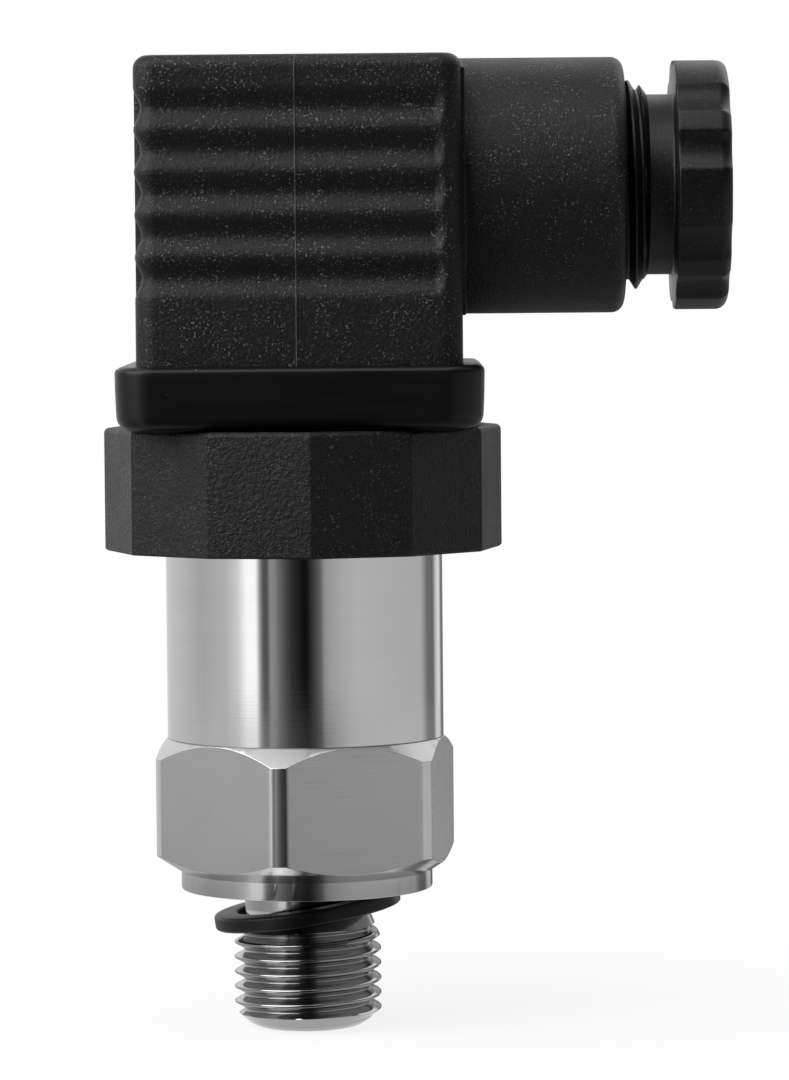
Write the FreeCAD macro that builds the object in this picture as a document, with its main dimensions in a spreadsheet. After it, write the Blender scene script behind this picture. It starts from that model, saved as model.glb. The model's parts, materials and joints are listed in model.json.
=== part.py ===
import FreeCAD, Part
import os
import re
import Sketcher

# Pressure transmitter: steel sensor body with a plug connector on top.
# +Z runs up the thread axis, the cable gland points along +X, and the
# origin is the mouth of the pressure port at the thread's end. Millimetres.

Vector = FreeCAD.Vector
Rotation = FreeCAD.Rotation

SIZES = [
    # process connection
    ("thread_dia", 13.157, "G1/4 major diameter"),
    ("thread_end_dia", 9.2, "flat end of the stem"),
    ("thread_end_chamfer", 1.3, "height of the chamfer at the thread's end"),
    ("thread_top", 7.9, "height where the full thread ends"),
    ("run_out", 2.3, "cone from the thread up to the neck"),
    ("neck_dia", 11.2, "undercut above the thread"),
    ("stem_length", 12.5, "thread end to the sealing face"),
    ("disc_dia", 22.5, "round collar under the hexagon"),
    ("disc_thickness", 1.6, "height of that collar"),
    ("hex_flats", 24.8, "spanner size across the flats"),
    ("hex_corner_dia", 27.9, "turned diameter over the corners"),
    ("hex_height", 11.95, "collar to the case's lower edge"),
    ("hex_low_chamfer", 1.75, "height of the lower chamfer"),
    ("hex_top_chamfer", 1.55, "height of the upper chamfer"),
    ("hex_turn", 9.1, "a corner's angle from -Y towards -X"),
    ("port_dia", 5.0, "pressure port bore"),
    ("spigot_height", 3.0, "step that centres the case"),
    ("pocket_depth", 9.0, "cell pocket, from the spigot's top"),
    ("groove_depth", 1.5, "cell seal groove"),
    # sensor
    ("cell_dia", 18.0, "ceramic cell"),
    ("cell_height", 6.35, "ceramic cell"),
    ("cell_clearance", 0.1, "radial gap round the cell"),
    ("cell_seal_dia", 11.5, "mean diameter of the cell's seal"),
    ("clamp_height", 2.45, "threaded clamp ring"),
    ("clamp_bore", 12.6, "threaded clamp ring"),
    ("pin_circle", 7.0, "circle of the cell's four pins"),
    ("cell_pin", 0.5, "square cell pin"),
    ("pin_rise", 0.9, "pin end above the board"),
    # case and electronics
    ("case_dia", 24.7, "case outside"),
    ("case_wall", 1.5, "case wall"),
    ("case_length", 21.45, "case tube"),
    ("spacer_height", 4.6, "board spacer"),
    ("spacer_wall", 1.4, "board spacer"),
    ("inner_gap", 0.2, "radial gap inside the case"),
    ("board_thickness", 1.6, "amplifier board"),
    ("board_hole_dia", 0.8, "board holes round the cell pins"),
    ("chip_length", 6.0, "signal chip along X"),
    ("chip_width", 5.0, "signal chip along Y"),
    ("chip_height", 1.6, "signal chip"),
    ("capacitor_dia", 3.0, "board capacitor"),
    ("capacitor_height", 4.0, "board capacitor"),
    ("capacitor_circle", 12.0, "circle of the capacitors"),
    ("lead_dia", 1.1, "insulated lead"),
    # connector base and collar ring
    ("ring_corner_dia", 35.48, "twelve-sided ring over its corners"),
    ("ring_turn", 3.0, "a corner's angle from -Y towards +X"),
    ("ring_height", 10.6, "collar ring"),
    ("ring_overlap", 4.6, "ring's grip on the case"),
    ("ring_edge", 0.5, "rounded edges of the ring"),
    ("ring_fit", 0.05, "radial gap in the ring's bores"),
    ("ring_wall", 2.285, "ring's wall round the flange"),
    ("ring_lip", 1.7, "ring's inward lip over the flange"),
    ("flange_thickness", 3.0, "connector base flange"),
    ("plug_spigot", 2.5, "base spigot inside the case"),
    ("spigot_wall", 2.6, "wall of that spigot"),
    ("seal_groove_width", 1.4, "case seal groove"),
    ("seal_groove_depth", 1.0, "case seal groove"),
    ("hub_wall", 1.1, "hub outside the contact blades"),
    ("hub_rise", 3.9, "hub above the ring's top"),
    ("hub_round", 2.5, "hub corners"),
    ("contact_pitch", 18.0, "opposite contact blades"),
    ("blade_width", 6.3, "contact blade"),
    ("blade_thickness", 0.8, "contact blade"),
    ("blade_rise", 8.6, "blade above the hub"),
    ("tail_width", 1.6, "solder tail of a blade"),
    ("tail_length", 1.9, "solder tail below the base"),
    # plug gasket
    ("gasket_width", 32.1, "square profile gasket"),
    ("gasket_height", 5.7, "square profile gasket"),
    ("gasket_floor", 1.8, "gasket floor under the plug"),
    ("gasket_corner", 3.2, "gasket's upright corners"),
    ("gasket_edge", 0.9, "gasket's lower edge"),
    ("gasket_fit", 0.1, "gap from gasket to plug and hub"),
    # plug housing
    ("plug_width", 28.4, "square plug housing"),
    ("plug_top", 86.3, "height of the plug's top"),
    ("plug_corner", 1.8, "upright corners of the plug"),
    ("plug_edge", 1.2, "top edges of the plug"),
    ("plug_wall", 2.0, "plug walls and roof"),
    ("rib_pitch", 3.68, "grip grooves, centre to centre"),
    ("rib_first", 4.6, "top groove below the plug's top"),
    ("groove_width", 3.1, "grip groove"),
    ("groove_sink", 0.62, "depth of a grip groove"),
    ("groove_stop", 1.6, "land left beside the boss wall"),
    ("groove_wrap", 3.2, "grip groove's run round the far corners"),
    ("boss_dia", 22.7, "gland boss"),
    ("boss_length", 14.2, "boss beyond the pad"),
    ("boss_edge", 1.1, "rounded end of the boss"),
    ("pad_rise", 0.3, "raised pad round the boss"),
    ("pad_margin", 1.4, "pad's border beyond the boss"),
    # fixing screw
    ("screw_dia", 2.9, "M3 fixing screw"),
    ("screw_head_dia", 5.5, "cheese head"),
    ("screw_head", 2.3, "head height"),
    ("screw_slot", 0.8, "driver slot"),
    ("head_sink", 1.5, "head's top below the plug's top"),
    ("screw_end", 52.6, "height of the screw's tip"),
    ("screw_seal", 1.0, "section of the captive ring"),
    ("recess_dia", 7.2, "head recess"),
    ("column_dia", 9.4, "moulded column round the screw"),
    ("screw_clearance", 0.25, "radial gap round the shank"),
    ("thread_fit", 0.05, "radial gap of threads made plain"),
    ("base_nut_dia", 5.2, "threaded insert"),
    ("base_nut_height", 4.0, "threaded insert"),
    # terminal insert
    ("insert_gap", 0.2, "gap round the terminal insert"),
    ("insert_height", 11.9, "terminal insert"),
    ("insert_corner", 1.6, "corners of the insert"),
    ("lug_height", 0.7, "snap lug under the insert"),
    ("lug_width", 6.0, "snap lug under the insert"),
    ("lug_reach", 0.6, "snap lug, from the plug's inner wall"),
    ("clamp_inside", 4.6, "terminal clamp, inwards from its blade"),
    ("clamp_outside", 1.1, "terminal clamp, outwards from its blade"),
    ("clamp_width", 7.0, "terminal clamp"),
    ("clamp_tall", 6.4, "terminal clamp"),
    ("clamp_fit", 0.1, "gap round a terminal clamp"),
    ("terminal_dia", 2.5, "terminal screw"),
    ("terminal_head_dia", 4.2, "terminal screw head"),
    ("terminal_head", 1.4, "terminal screw head"),
    ("terminal_depth", 4.4, "terminal screw in its clamp"),
    ("terminal_inset", 2.4, "terminal screw inwards from its blade"),
    # cable gland
    ("gland_height", 75.05, "gland axis above the origin"),
    ("gland_thread_dia", 18.6, "PG11 major diameter"),
    ("gland_bore_depth", 12.3, "threaded part of the boss"),
    ("seat_dia", 16.3, "grommet seat"),
    ("seat_depth", 3.0, "grommet seat"),
    ("cable_hole_dia", 11.2, "hole into the wiring space"),
    ("nut_gap", 4.4, "boss end to the nut's head"),
    ("nut_neck_dia", 16.0, "neck behind the head"),
    ("nut_neck", 2.3, "neck behind the head"),
    ("nut_thread", 7.0, "threaded stem of the nut"),
    ("nut_head_dia", 22.25, "nut head"),
    ("nut_head", 4.75, "nut head"),
    ("nut_edge", 1.0, "rounded outer edge"),
    ("nut_bore_dia", 11.0, "cable entry"),
    ("flute_sink", 0.6, "finger flute"),
    ("flute_radius", 2.64, "finger flute"),
    ("flute_angle", 21.75, "flute from the middle of a wide land"),
    ("nut_turn", 6.8, "a wide land's angle from -Y, downwards"),
    ("washer_thickness", 0.8, "slip washer"),
    ("washer_gap", 0.1, "slip washer to the nut's nose"),
    ("grommet_length", 5.2, "cable grommet"),
    ("grommet_bore", 8.4, "cable grommet"),
    # loose thread seal
    ("ring_seal_dia", 16.8, "thread seal outside"),
    ("ring_seal_bore", 12.5, "thread seal bore"),
    ("ring_seal_thick", 1.35, "thread seal"),
    ("ring_seal_tilt", 8.5, "angle at which it hangs"),
    ("ring_seal_height", 10.55, "middle of the thread seal"),
]

# Heights and places that follow from the sizes above.
DERIVED = [
    ("disc_top", "stem_length + disc_thickness"),
    ("case_foot", "disc_top + hex_height"),
    ("spigot_top", "case_foot + spigot_height"),
    ("pocket_floor", "spigot_top - pocket_depth"),
    ("pocket_radius", "cell_dia / 2 + cell_clearance"),
    ("case_radius", "case_dia / 2"),
    ("case_bore", "case_radius - case_wall"),
    ("cell_top", "pocket_floor + cell_height"),
    ("board_foot", "spigot_top + spacer_height"),
    ("board_top", "board_foot + board_thickness"),
    ("case_top", "case_foot + case_length"),
    ("flange_top", "case_top + flange_thickness"),
    ("ring_foot", "case_top - ring_overlap"),
    ("ring_top", "ring_foot + ring_height"),
    ("flange_dia", "ring_corner_dia * cos(15 deg) - 2 * (ring_wall + ring_fit)"),
    ("lip_dia", "flange_dia - 2 * ring_lip"),
    ("blade_place", "contact_pitch / 2"),
    ("hub_width", "contact_pitch + blade_thickness + 2 * hub_wall"),
    ("hub_top", "ring_top + hub_rise"),
    ("tail_end", "case_top - plug_spigot - tail_length"),
    ("gasket_top", "ring_top + gasket_height"),
    ("plug_foot", "ring_top + gasket_floor"),
    ("plug_half", "plug_width / 2"),
    ("cavity_half", "plug_half - plug_wall"),
    ("roof", "plug_top - plug_wall"),
    ("insert_foot", "hub_top + insert_gap"),
    ("insert_top", "insert_foot + insert_height"),
    ("head_top", "plug_top - head_sink"),
    ("head_foot", "head_top - screw_head"),
    ("recess_floor", "head_foot - screw_seal"),
    ("column_foot", "insert_top"),
    ("clamp_inner", "blade_place - clamp_inside"),
    ("clamp_outer", "blade_place + clamp_outside"),
    ("terminal_place", "blade_place - terminal_inset"),
    ("clamp_top", "insert_top - terminal_head"),
    ("clamp_foot", "clamp_top - clamp_tall"),
    ("pad_face", "plug_half + pad_rise"),
    ("boss_end", "pad_face + boss_length"),
    ("seat_mouth", "boss_end - gland_bore_depth"),
    ("seat_floor", "seat_mouth - seat_depth"),
    ("head_back", "boss_end + nut_gap"),
    ("thread_out", "head_back - nut_neck"),
    ("nut_nose", "thread_out - nut_thread"),
    ("nut_end", "head_back + nut_head"),
    ("washer_face", "nut_nose - washer_gap"),
]

document = FreeCAD.newDocument("PressureTransmitter")
sheet = document.addObject("Spreadsheet::Sheet", "Sizes")
names = [row[0] for row in SIZES] + [row[0] for row in DERIVED]
word = re.compile(r"(?<![\w.])(" + "|".join(sorted(names, key=len, reverse=True)) + r")(?!\w)")


def fill_sheet():
    for row, (name, number, note) in enumerate(SIZES, start=1):
        sheet.set("A%d" % row, name)
        sheet.set("B%d" % row, str(number))
        sheet.set("C%d" % row, note)
        sheet.setAlias("B%d" % row, name)
    for row, (name, formula) in enumerate(DERIVED, start=len(SIZES) + 1):
        sheet.set("A%d" % row, name)
        sheet.set("B%d" % row, "=" + formula)
        sheet.setAlias("B%d" % row, name)
    document.recompute()


def linked(expression):
    """The expression with each size read from the sheet."""
    return word.sub(r"Sizes.\1", expression)


def value(expression):
    return float(sheet.evalExpression(linked(expression)))


def bind(thing, place, expression):
    thing.setExpression(place, linked(expression))


# ---- sketches and features -------------------------------------------------

def new_body(name):
    body = document.addObject("PartDesign::Body", name)
    body.Label = name
    return body


def plane_of(body, role):
    for feature in body.Origin.OriginFeatures:
        if feature.Role == role:
            return feature
    raise ValueError("no plane " + role)


def new_sketch(body, name, role, offset=None):
    """A sketch on an origin plane, moved along the plane's normal."""
    sketch = body.newObject("Sketcher::SketchObject", name)
    sketch.AttachmentSupport = [(plane_of(body, role), "")]
    sketch.MapMode = "FlatFace"
    if offset:
        bind(sketch, "AttachmentOffset.Base.z", offset)
    return sketch


def drive(sketch, kind, geometry, point, expression):
    """Fix one coordinate of a point by an expression."""
    size = value(expression)
    index = sketch.addConstraint(Sketcher.Constraint(kind, -1, 1, geometry, point, size))
    bind(sketch, "Constraints[%d]" % index, expression)


def add_outline(sketch, corners):
    """A closed outline whose corners are pairs of expressions."""
    points = [Vector(value(across), value(up), 0) for across, up in corners]
    first = sketch.GeometryCount
    count = len(points)
    for index in range(count):
        line = Part.LineSegment(points[index], points[(index + 1) % count])
        sketch.addGeometry(line, False)
    for index in range(count):
        following = first + (index + 1) % count
        sketch.addConstraint(Sketcher.Constraint("Coincident", first + index, 2, following, 1))
    for index, (across, up) in enumerate(corners):
        drive(sketch, "DistanceX", first + index, 1, across)
        drive(sketch, "DistanceY", first + index, 1, up)


def add_circle(sketch, across, up, radius):
    centre = Vector(value(across), value(up), 0)
    circle = sketch.addGeometry(Part.Circle(centre, Vector(0, 0, 1), value(radius)), False)
    index = sketch.addConstraint(Sketcher.Constraint("Radius", circle, value(radius)))
    bind(sketch, "Constraints[%d]" % index, radius)
    drive(sketch, "DistanceX", circle, 3, across)
    drive(sketch, "DistanceY", circle, 3, up)
    return circle


def rectangle(left, low, right, high):
    return [(left, low), (right, low), (right, high), (left, high)]


def centred(width, depth=None):
    depth = depth or width
    half, deep = "(%s) / 2" % width, "(%s) / 2" % depth
    return rectangle("0 - " + half, "0 - " + deep, half, deep)


def polygon(sides, radius, first):
    """Corners of a regular polygon, by angle in degrees from +X."""
    corners = []
    for side in range(sides):
        angle = "((%s) + %g) * 1 deg" % (first, side * 360.0 / sides)
        corners.append(("(%s) * cos(%s)" % (radius, angle), "(%s) * sin(%s)" % (radius, angle)))
    return corners


def turned(body, name, profile):
    """A full turn of a profile of radius and height about the body's Z."""
    sketch = new_sketch(body, name + "Profile", "XZ_Plane")
    add_outline(sketch, profile)
    solid = body.newObject("PartDesign::Revolution", name)
    solid.Profile = (sketch, [""])
    solid.ReferenceAxis = (sketch, ["V_Axis"])
    solid.Angle = 360
    sketch.Visibility = False
    document.recompute()
    return solid


def pad(body, name, sketch, length):
    solid = body.newObject("PartDesign::Pad", name)
    solid.Profile = (sketch, [""])
    bind(solid, "Length", length)
    document.recompute()
    return solid


def pocket(body, name, sketch, depth, upwards=False):
    """A cut along the sketch's normal, checked to have removed material."""
    before = body.Shape.Volume
    cut = body.newObject("PartDesign::Pocket", name)
    cut.Profile = (sketch, [""])
    bind(cut, "Length", depth)
    cut.Reversed = upwards
    document.recompute()
    if body.Shape.Volume > before - 1e-6:
        raise ValueError(name + " cuts nothing")
    return cut


def polar(body, name, feature, count, sweep=360):
    pattern = body.newObject("PartDesign::PolarPattern", name)
    pattern.Originals = [feature]
    pattern.Axis = (plane_of(body, "Z_Axis"), [""])
    pattern.Angle = sweep
    pattern.Occurrences = count
    body.Tip = pattern
    document.recompute()
    return pattern


def rounded(body, name, radius, chosen):
    """A fillet on the edges of the body's tip that a test accepts."""
    base = body.Tip
    edges = ["Edge%d" % (n + 1) for n, edge in enumerate(base.Shape.Edges) if chosen(edge)]
    if not edges:
        raise ValueError(name + " finds no edge")
    fillet = body.newObject("PartDesign::Fillet", name)
    fillet.Base = (base, edges)
    bind(fillet, "Radius", radius)
    document.recompute()
    return fillet


def is_upright(edge):
    box = edge.BoundBox
    return box.ZLength > 1 and box.XLength < 1e-4 and box.YLength < 1e-4


def is_level(edge, height):
    box = edge.BoundBox
    return box.ZLength < 1e-4 and abs(box.ZMin - height) < 1e-3


def lay_along_x(body):
    """Turn a body made about its own Z so that it points along the gland."""
    body.Placement = FreeCAD.Placement(Vector(0, 0, 0), Rotation(Vector(0, 1, 0), 90))
    bind(body, "Placement.Base.z", "gland_height")


def tube_profile(inner, outer, low, high):
    return rectangle(inner, low, outer, high)


def eased_section(inner, outer, low, high, ease):
    """A rectangular section of a ring with its four corners cut."""
    return [
        (inner + " + " + ease, low),
        (outer + " - " + ease, low),
        (outer, low + " + " + ease),
        (outer, high + " - " + ease),
        (outer + " - " + ease, high),
        (inner + " + " + ease, high),
        (inner, high + " - " + ease),
        (inner, low + " + " + ease),
    ]


def squeezed_ring(name, middle, section, low, high):
    """An O-ring as it sits squeezed: a mean radius, a section and two heights."""
    body = new_body(name)
    flat, half = "(%s) / 4" % section, "(%s) / 2" % section
    between = "(%s + %s) / 2" % (low, high)
    profile = [
        (middle + " - " + half, between),
        (middle + " - " + flat, low),
        (middle + " + " + flat, low),
        (middle + " + " + half, between),
        (middle + " + " + flat, high),
        (middle + " - " + flat, high),
    ]
    turned(body, "Ring", profile)
    return body


# ---- process connection ----------------------------------------------------

def process_body():
    """Turned stem, collar and hexagon with the port and the cell pocket."""
    body = new_body("process_body")
    corner = "hex_corner_dia / 2"
    flat = "case_radius"
    thread = "thread_dia / 2"
    profile = [
        ("port_dia / 2", "0"),
        ("thread_end_dia / 2", "0"),
        (thread, "thread_end_chamfer"),
        (thread, "thread_top"),
        ("neck_dia / 2", "thread_top + run_out"),
        ("neck_dia / 2", "stem_length"),
        ("disc_dia / 2", "stem_length"),
        ("disc_dia / 2", "disc_top"),
        (corner, "disc_top + hex_low_chamfer"),
        (corner, "case_foot - hex_top_chamfer"),
        (flat, "case_foot"),
        ("case_bore", "case_foot"),
        ("case_bore", "spigot_top"),
        ("pocket_radius", "spigot_top"),
        ("pocket_radius", "pocket_floor"),
        ("port_dia / 2", "pocket_floor"),
    ]
    turned(body, "Stem", profile)
    flats = new_sketch(body, "Hexagon", "XY_Plane", "case_foot")
    add_outline(flats, polygon(6, "hex_flats / sqrt(3)", "270 - hex_turn"))
    add_circle(flats, "0", "0", "hex_corner_dia")
    pocket(body, "Flats", flats, "hex_height")
    groove = new_sketch(body, "SealGroove", "XY_Plane", "pocket_floor")
    add_circle(groove, "0", "0", "cell_seal_dia / 2 + groove_depth / 2")
    add_circle(groove, "0", "0", "cell_seal_dia / 2 - groove_depth / 2")
    pocket(body, "CellGroove", groove, "groove_depth")
    return body


def thread_seal():
    """Loose flat rubber ring that hangs tilted on the undercut."""
    body = new_body("thread_seal")
    inner, outer = "ring_seal_bore / 2", "ring_seal_dia / 2"
    half = "ring_seal_thick / 2"
    turned(body, "Ring", eased_section(inner, outer, "0 - " + half, half, "ring_seal_thick / 5"))
    body.Placement = FreeCAD.Placement(Vector(0, 0, 0), Rotation(Vector(0, -1, 0), 1))
    bind(body, "Placement.Rotation.Angle", "ring_seal_tilt")
    bind(body, "Placement.Base.z", "ring_seal_height")
    return body


# ---- sensor ----------------------------------------------------------------

def cell_seal():
    return squeezed_ring("cell_seal", "cell_seal_dia / 2", "groove_depth", "pocket_floor - groove_depth",
                         "pocket_floor")


def case_seal():
    low = "case_top - plug_spigot / 2 - seal_groove_depth / 2"
    high = low + " + seal_groove_depth"
    depth = "(seal_groove_depth + ring_fit)"
    return squeezed_ring("case_seal", "case_bore - " + depth + " / 2", depth, low, high)


def pressure_cell():
    """Ceramic disc that the clamp ring holds down on its seal."""
    body = new_body("pressure_cell")
    sketch = new_sketch(body, "Outline", "XY_Plane", "pocket_floor")
    add_circle(sketch, "0", "0", "cell_dia / 2")
    pad(body, "Disc", sketch, "cell_height")
    return body


def cell_clamp_ring():
    body = new_body("cell_clamp_ring")
    low, high = "cell_top", "cell_top + clamp_height"
    turned(body, "Ring", tube_profile("clamp_bore / 2", "pocket_radius - thread_fit", low, high))
    slots = new_sketch(body, "SpannerSlots", "XY_Plane", high)
    add_outline(slots, centred("cell_dia + 2", "screw_dia / 2"))
    pocket(body, "Slots", slots, "clamp_height / 2")
    return body


def cell_pins():
    body = new_body("cell_pins")
    sketch = new_sketch(body, "Pin", "XY_Plane", "cell_top")
    half = "cell_pin / 2"
    add_outline(sketch, rectangle("pin_circle / 2 - " + half, "0 - " + half, "pin_circle / 2 + " + half, half))
    first = pad(body, "FirstPin", sketch, "board_top + pin_rise - cell_top")
    polar(body, "Pins", first, 4)
    return body


# ---- case and electronics --------------------------------------------------

def case_tube():
    body = new_body("case_tube")
    turned(body, "Tube", tube_profile("case_bore", "case_radius", "case_foot", "case_top"))
    return body


def board_spacer():
    body = new_body("board_spacer")
    outer = "case_bore - inner_gap"
    turned(body, "Ring", tube_profile(outer + " - spacer_wall", outer, "spigot_top", "board_foot"))
    return body


def amplifier_board():
    body = new_body("amplifier_board")
    sketch = new_sketch(body, "Outline", "XY_Plane", "board_foot")
    add_circle(sketch, "0", "0", "case_bore - inner_gap")
    pad(body, "Board", sketch, "board_thickness")
    hole = new_sketch(body, "PinHole", "XY_Plane", "board_top")
    add_circle(hole, "pin_circle / 2", "0", "board_hole_dia / 2")
    first = pocket(body, "FirstHole", hole, "board_thickness")
    polar(body, "PinHoles", first, 4)
    return body


def signal_chip():
    chip = document.addObject("Part::Box", "signal_chip")
    chip.Label = "signal_chip"
    bind(chip, "Length", "chip_length")
    bind(chip, "Width", "chip_width")
    bind(chip, "Height", "chip_height")
    bind(chip, "Placement.Base.x", "0 - chip_length / 2")
    bind(chip, "Placement.Base.y", "0 - chip_width / 2")
    bind(chip, "Placement.Base.z", "board_top")
    document.recompute()
    return chip


def board_capacitors():
    body = new_body("board_capacitors")
    sketch = new_sketch(body, "Can", "XY_Plane", "board_top")
    reach = "capacitor_circle / 2 * %s(45 deg)"
    add_circle(sketch, reach % "cos", reach % "sin", "capacitor_dia / 2")
    first = pad(body, "FirstCan", sketch, "capacitor_height")
    polar(body, "Cans", first, 2)
    return body


def lead_wires():
    """Three insulated leads from the board up to the contacts' solder tails."""
    body = new_body("lead_wires")
    sketch = new_sketch(body, "Lead", "XY_Plane", "board_top")
    add_circle(sketch, "0", "blade_place", "lead_dia / 2")
    first = pad(body, "FirstLead", sketch, "tail_end - board_top")
    polar(body, "Leads", first, 3, 180)
    return body


# ---- connector base and collar ring ----------------------------------------

def connector_base():
    """Moulded contact carrier: spigot in the case, flange and square hub."""
    body = new_body("connector_base")
    hub = new_sketch(body, "HubOutline", "XY_Plane", "ring_top")
    add_outline(hub, centred("hub_width"))
    pad(body, "Hub", hub, "hub_rise")
    rounded(body, "HubCorners", "hub_round", is_upright)
    spigot = "case_bore - ring_fit"
    profile = [
        (spigot + " - spigot_wall", "case_top - plug_spigot"),
        (spigot, "case_top - plug_spigot"),
        (spigot, "case_top"),
        ("flange_dia / 2", "case_top"),
        ("flange_dia / 2", "flange_top"),
        ("lip_dia / 2 - ring_fit", "flange_top"),
        ("lip_dia / 2 - ring_fit", "ring_top"),
        (spigot + " - spigot_wall", "ring_top"),
    ]
    turned(body, "Flange", profile)
    web = new_sketch(body, "Web", "XY_Plane", "case_top")
    add_circle(web, "0", "0", "case_bore - ring_fit - spigot_wall")
    pad(body, "Floor", web, "ring_top - case_top")
    nut = new_sketch(body, "NutHole", "XY_Plane", "hub_top")
    add_circle(nut, "0", "0", "base_nut_dia / 2")
    pocket(body, "NutPocket", nut, "base_nut_height")
    tip = new_sketch(body, "TipHole", "XY_Plane", "hub_top - base_nut_height")
    add_circle(tip, "0", "0", "screw_dia / 2 + screw_clearance")
    pocket(body, "TipPocket", tip, "base_nut_height / 2")
    blade = new_sketch(body, "BladeSlot", "XY_Plane", "hub_top")
    add_outline(blade, blade_outline("blade_width"))
    first = pocket(body, "FirstSlot", blade, "hub_top - case_top")
    polar(body, "BladeSlots", first, 4)
    tail = new_sketch(body, "TailSlot", "XY_Plane", "case_top")
    add_outline(tail, blade_outline("tail_width"))
    first = pocket(body, "FirstTailSlot", tail, "plug_spigot")
    polar(body, "TailSlots", first, 4)
    groove = new_sketch(body, "GrooveProfile", "XZ_Plane")
    low = "case_top - plug_spigot + (plug_spigot - seal_groove_width) / 2"
    high = low + " + seal_groove_width"
    add_outline(groove, rectangle(spigot + " - seal_groove_depth", low, "case_radius", high))
    cut = body.newObject("PartDesign::Groove", "SealGroove")
    cut.Profile = (groove, [""])
    cut.ReferenceAxis = (groove, ["V_Axis"])
    cut.Angle = 360
    document.recompute()
    return body


def blade_outline(width):
    thin, half = "blade_thickness / 2", "(%s) / 2" % width
    return rectangle("blade_place - " + thin, "0 - " + half, "blade_place + " + thin, half)


def contact_blades():
    """Three flat contacts and the earth contact, each with a solder tail."""
    body = new_body("contact_blades")
    blade = new_sketch(body, "Blade", "XY_Plane", "case_top")
    add_outline(blade, blade_outline("blade_width"))
    first = pad(body, "FirstBlade", blade, "hub_top + blade_rise - case_top")
    polar(body, "Blades", first, 4)
    tail = new_sketch(body, "Tail", "XY_Plane", "tail_end")
    add_outline(tail, blade_outline("tail_width"))
    stub = pad(body, "FirstTail", tail, "case_top - tail_end")
    polar(body, "Tails", stub, 4)
    return body


def base_nut():
    """Threaded insert for the fixing screw, moulded into the hub."""
    body = new_body("base_nut")
    bore = "screw_dia / 2 + thread_fit"
    turned(body, "Insert", tube_profile(bore, "base_nut_dia / 2", "hub_top - base_nut_height", "hub_top"))
    return body


def collar_ring():
    """Twelve-sided ring, threaded on the case, that clamps the base down."""
    body = new_body("collar_ring")
    outline = new_sketch(body, "Twelve", "XY_Plane", "ring_foot")
    add_outline(outline, polygon(12, "ring_corner_dia / 2", "270 + ring_turn"))
    pad(body, "Blank", outline, "ring_height")
    outer = value("ring_corner_dia / 2 * cos(15 deg)")

    def on_rim(edge):
        middle = edge.valueAt((edge.FirstParameter + edge.LastParameter) / 2)
        return edge.BoundBox.ZLength < 1e-4 and middle.z > value("ring_top") - 1e-3 and \
            Vector(middle.x, middle.y, 0).Length > outer - 1e-2

    rounded(body, "TopEdge", "ring_edge", on_rim)
    grip = new_sketch(body, "Grip", "XY_Plane", "case_top")
    add_circle(grip, "0", "0", "case_radius + ring_fit")
    pocket(body, "CaseBore", grip, "ring_overlap")
    well = new_sketch(body, "Well", "XY_Plane", "flange_top")
    add_circle(well, "0", "0", "flange_dia / 2 + ring_fit")
    pocket(body, "FlangeWell", well, "flange_thickness")
    lip = new_sketch(body, "Lip", "XY_Plane", "ring_top")
    add_circle(lip, "0", "0", "lip_dia / 2")
    pocket(body, "LipBore", lip, "ring_top - flange_top")
    return body


# ---- plug gasket -----------------------------------------------------------

def plug_gasket():
    """Square rubber tray between the collar ring and the plug."""
    body = new_body("plug_gasket")
    outline = new_sketch(body, "Outline", "XY_Plane", "ring_top")
    add_outline(outline, centred("gasket_width"))
    pad(body, "Block", outline, "gasket_height")
    rounded(body, "Corners", "gasket_corner", is_upright)
    rounded(body, "LowEdge", "gasket_edge", lambda edge: is_level(edge, value("ring_top")))
    tray = new_sketch(body, "Tray", "XY_Plane", "gasket_top")
    add_outline(tray, centred("plug_width + 2 * gasket_fit"))
    pocket(body, "PlugWell", tray, "gasket_height - gasket_floor")
    window = new_sketch(body, "Window", "XY_Plane", "plug_foot")
    add_outline(window, centred("hub_width + 2 * gasket_fit"))
    pocket(body, "HubWindow", window, "gasket_floor")
    return body


# ---- plug housing ----------------------------------------------------------

def plug_housing():
    """Moulded hood with grip grooves on three sides and the gland boss."""
    body = new_body("plug_housing")
    outline = new_sketch(body, "Outline", "XY_Plane", "plug_foot")
    add_outline(outline, centred("plug_width"))
    pad(body, "Block", outline, "plug_top - plug_foot")
    rounded(body, "Corners", "plug_corner", is_upright)
    rounded(body, "TopEdges", "plug_edge", lambda edge: is_level(edge, value("plug_top")))
    grip_grooves(body)
    gland_boss(body)
    plug_inside(body)
    return body


def grip_grooves(body):
    """Five shallow grooves on the front and the back that wrap the far corners."""
    outer = "plug_half"
    sagitta = "groove_sink"
    half = "groove_width / 2"
    radius = "((%s) ^ 2 + %s ^ 2) / (2 * %s)" % (half, sagitta, sagitta)
    height = "plug_top - rib_first"
    centre = "%s + %s - %s" % (outer, radius, sagitta)
    for name, sign in (("Front", "0 - "), ("Back", "")):
        cutter = new_sketch(body, name + "Groove", "YZ_Plane", "plug_half - groove_stop")
        add_circle(cutter, sign + "(" + centre + ")", height, radius)
        first = pocket(body, name + "Cut", cutter, "plug_width - groove_stop")
        row(body, name + "Grooves", first)
    for name, face, backwards in (("FrontWrap", "plug_half", False), ("BackWrap", "0 - plug_half", True)):
        cutter = new_sketch(body, name + "Groove", "XZ_Plane", face)
        add_circle(cutter, "0 - (" + centre + ")", height, radius)
        first = pocket(body, name + "Cut", cutter, "groove_wrap", backwards)
        row(body, name + "Grooves", first)


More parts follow.
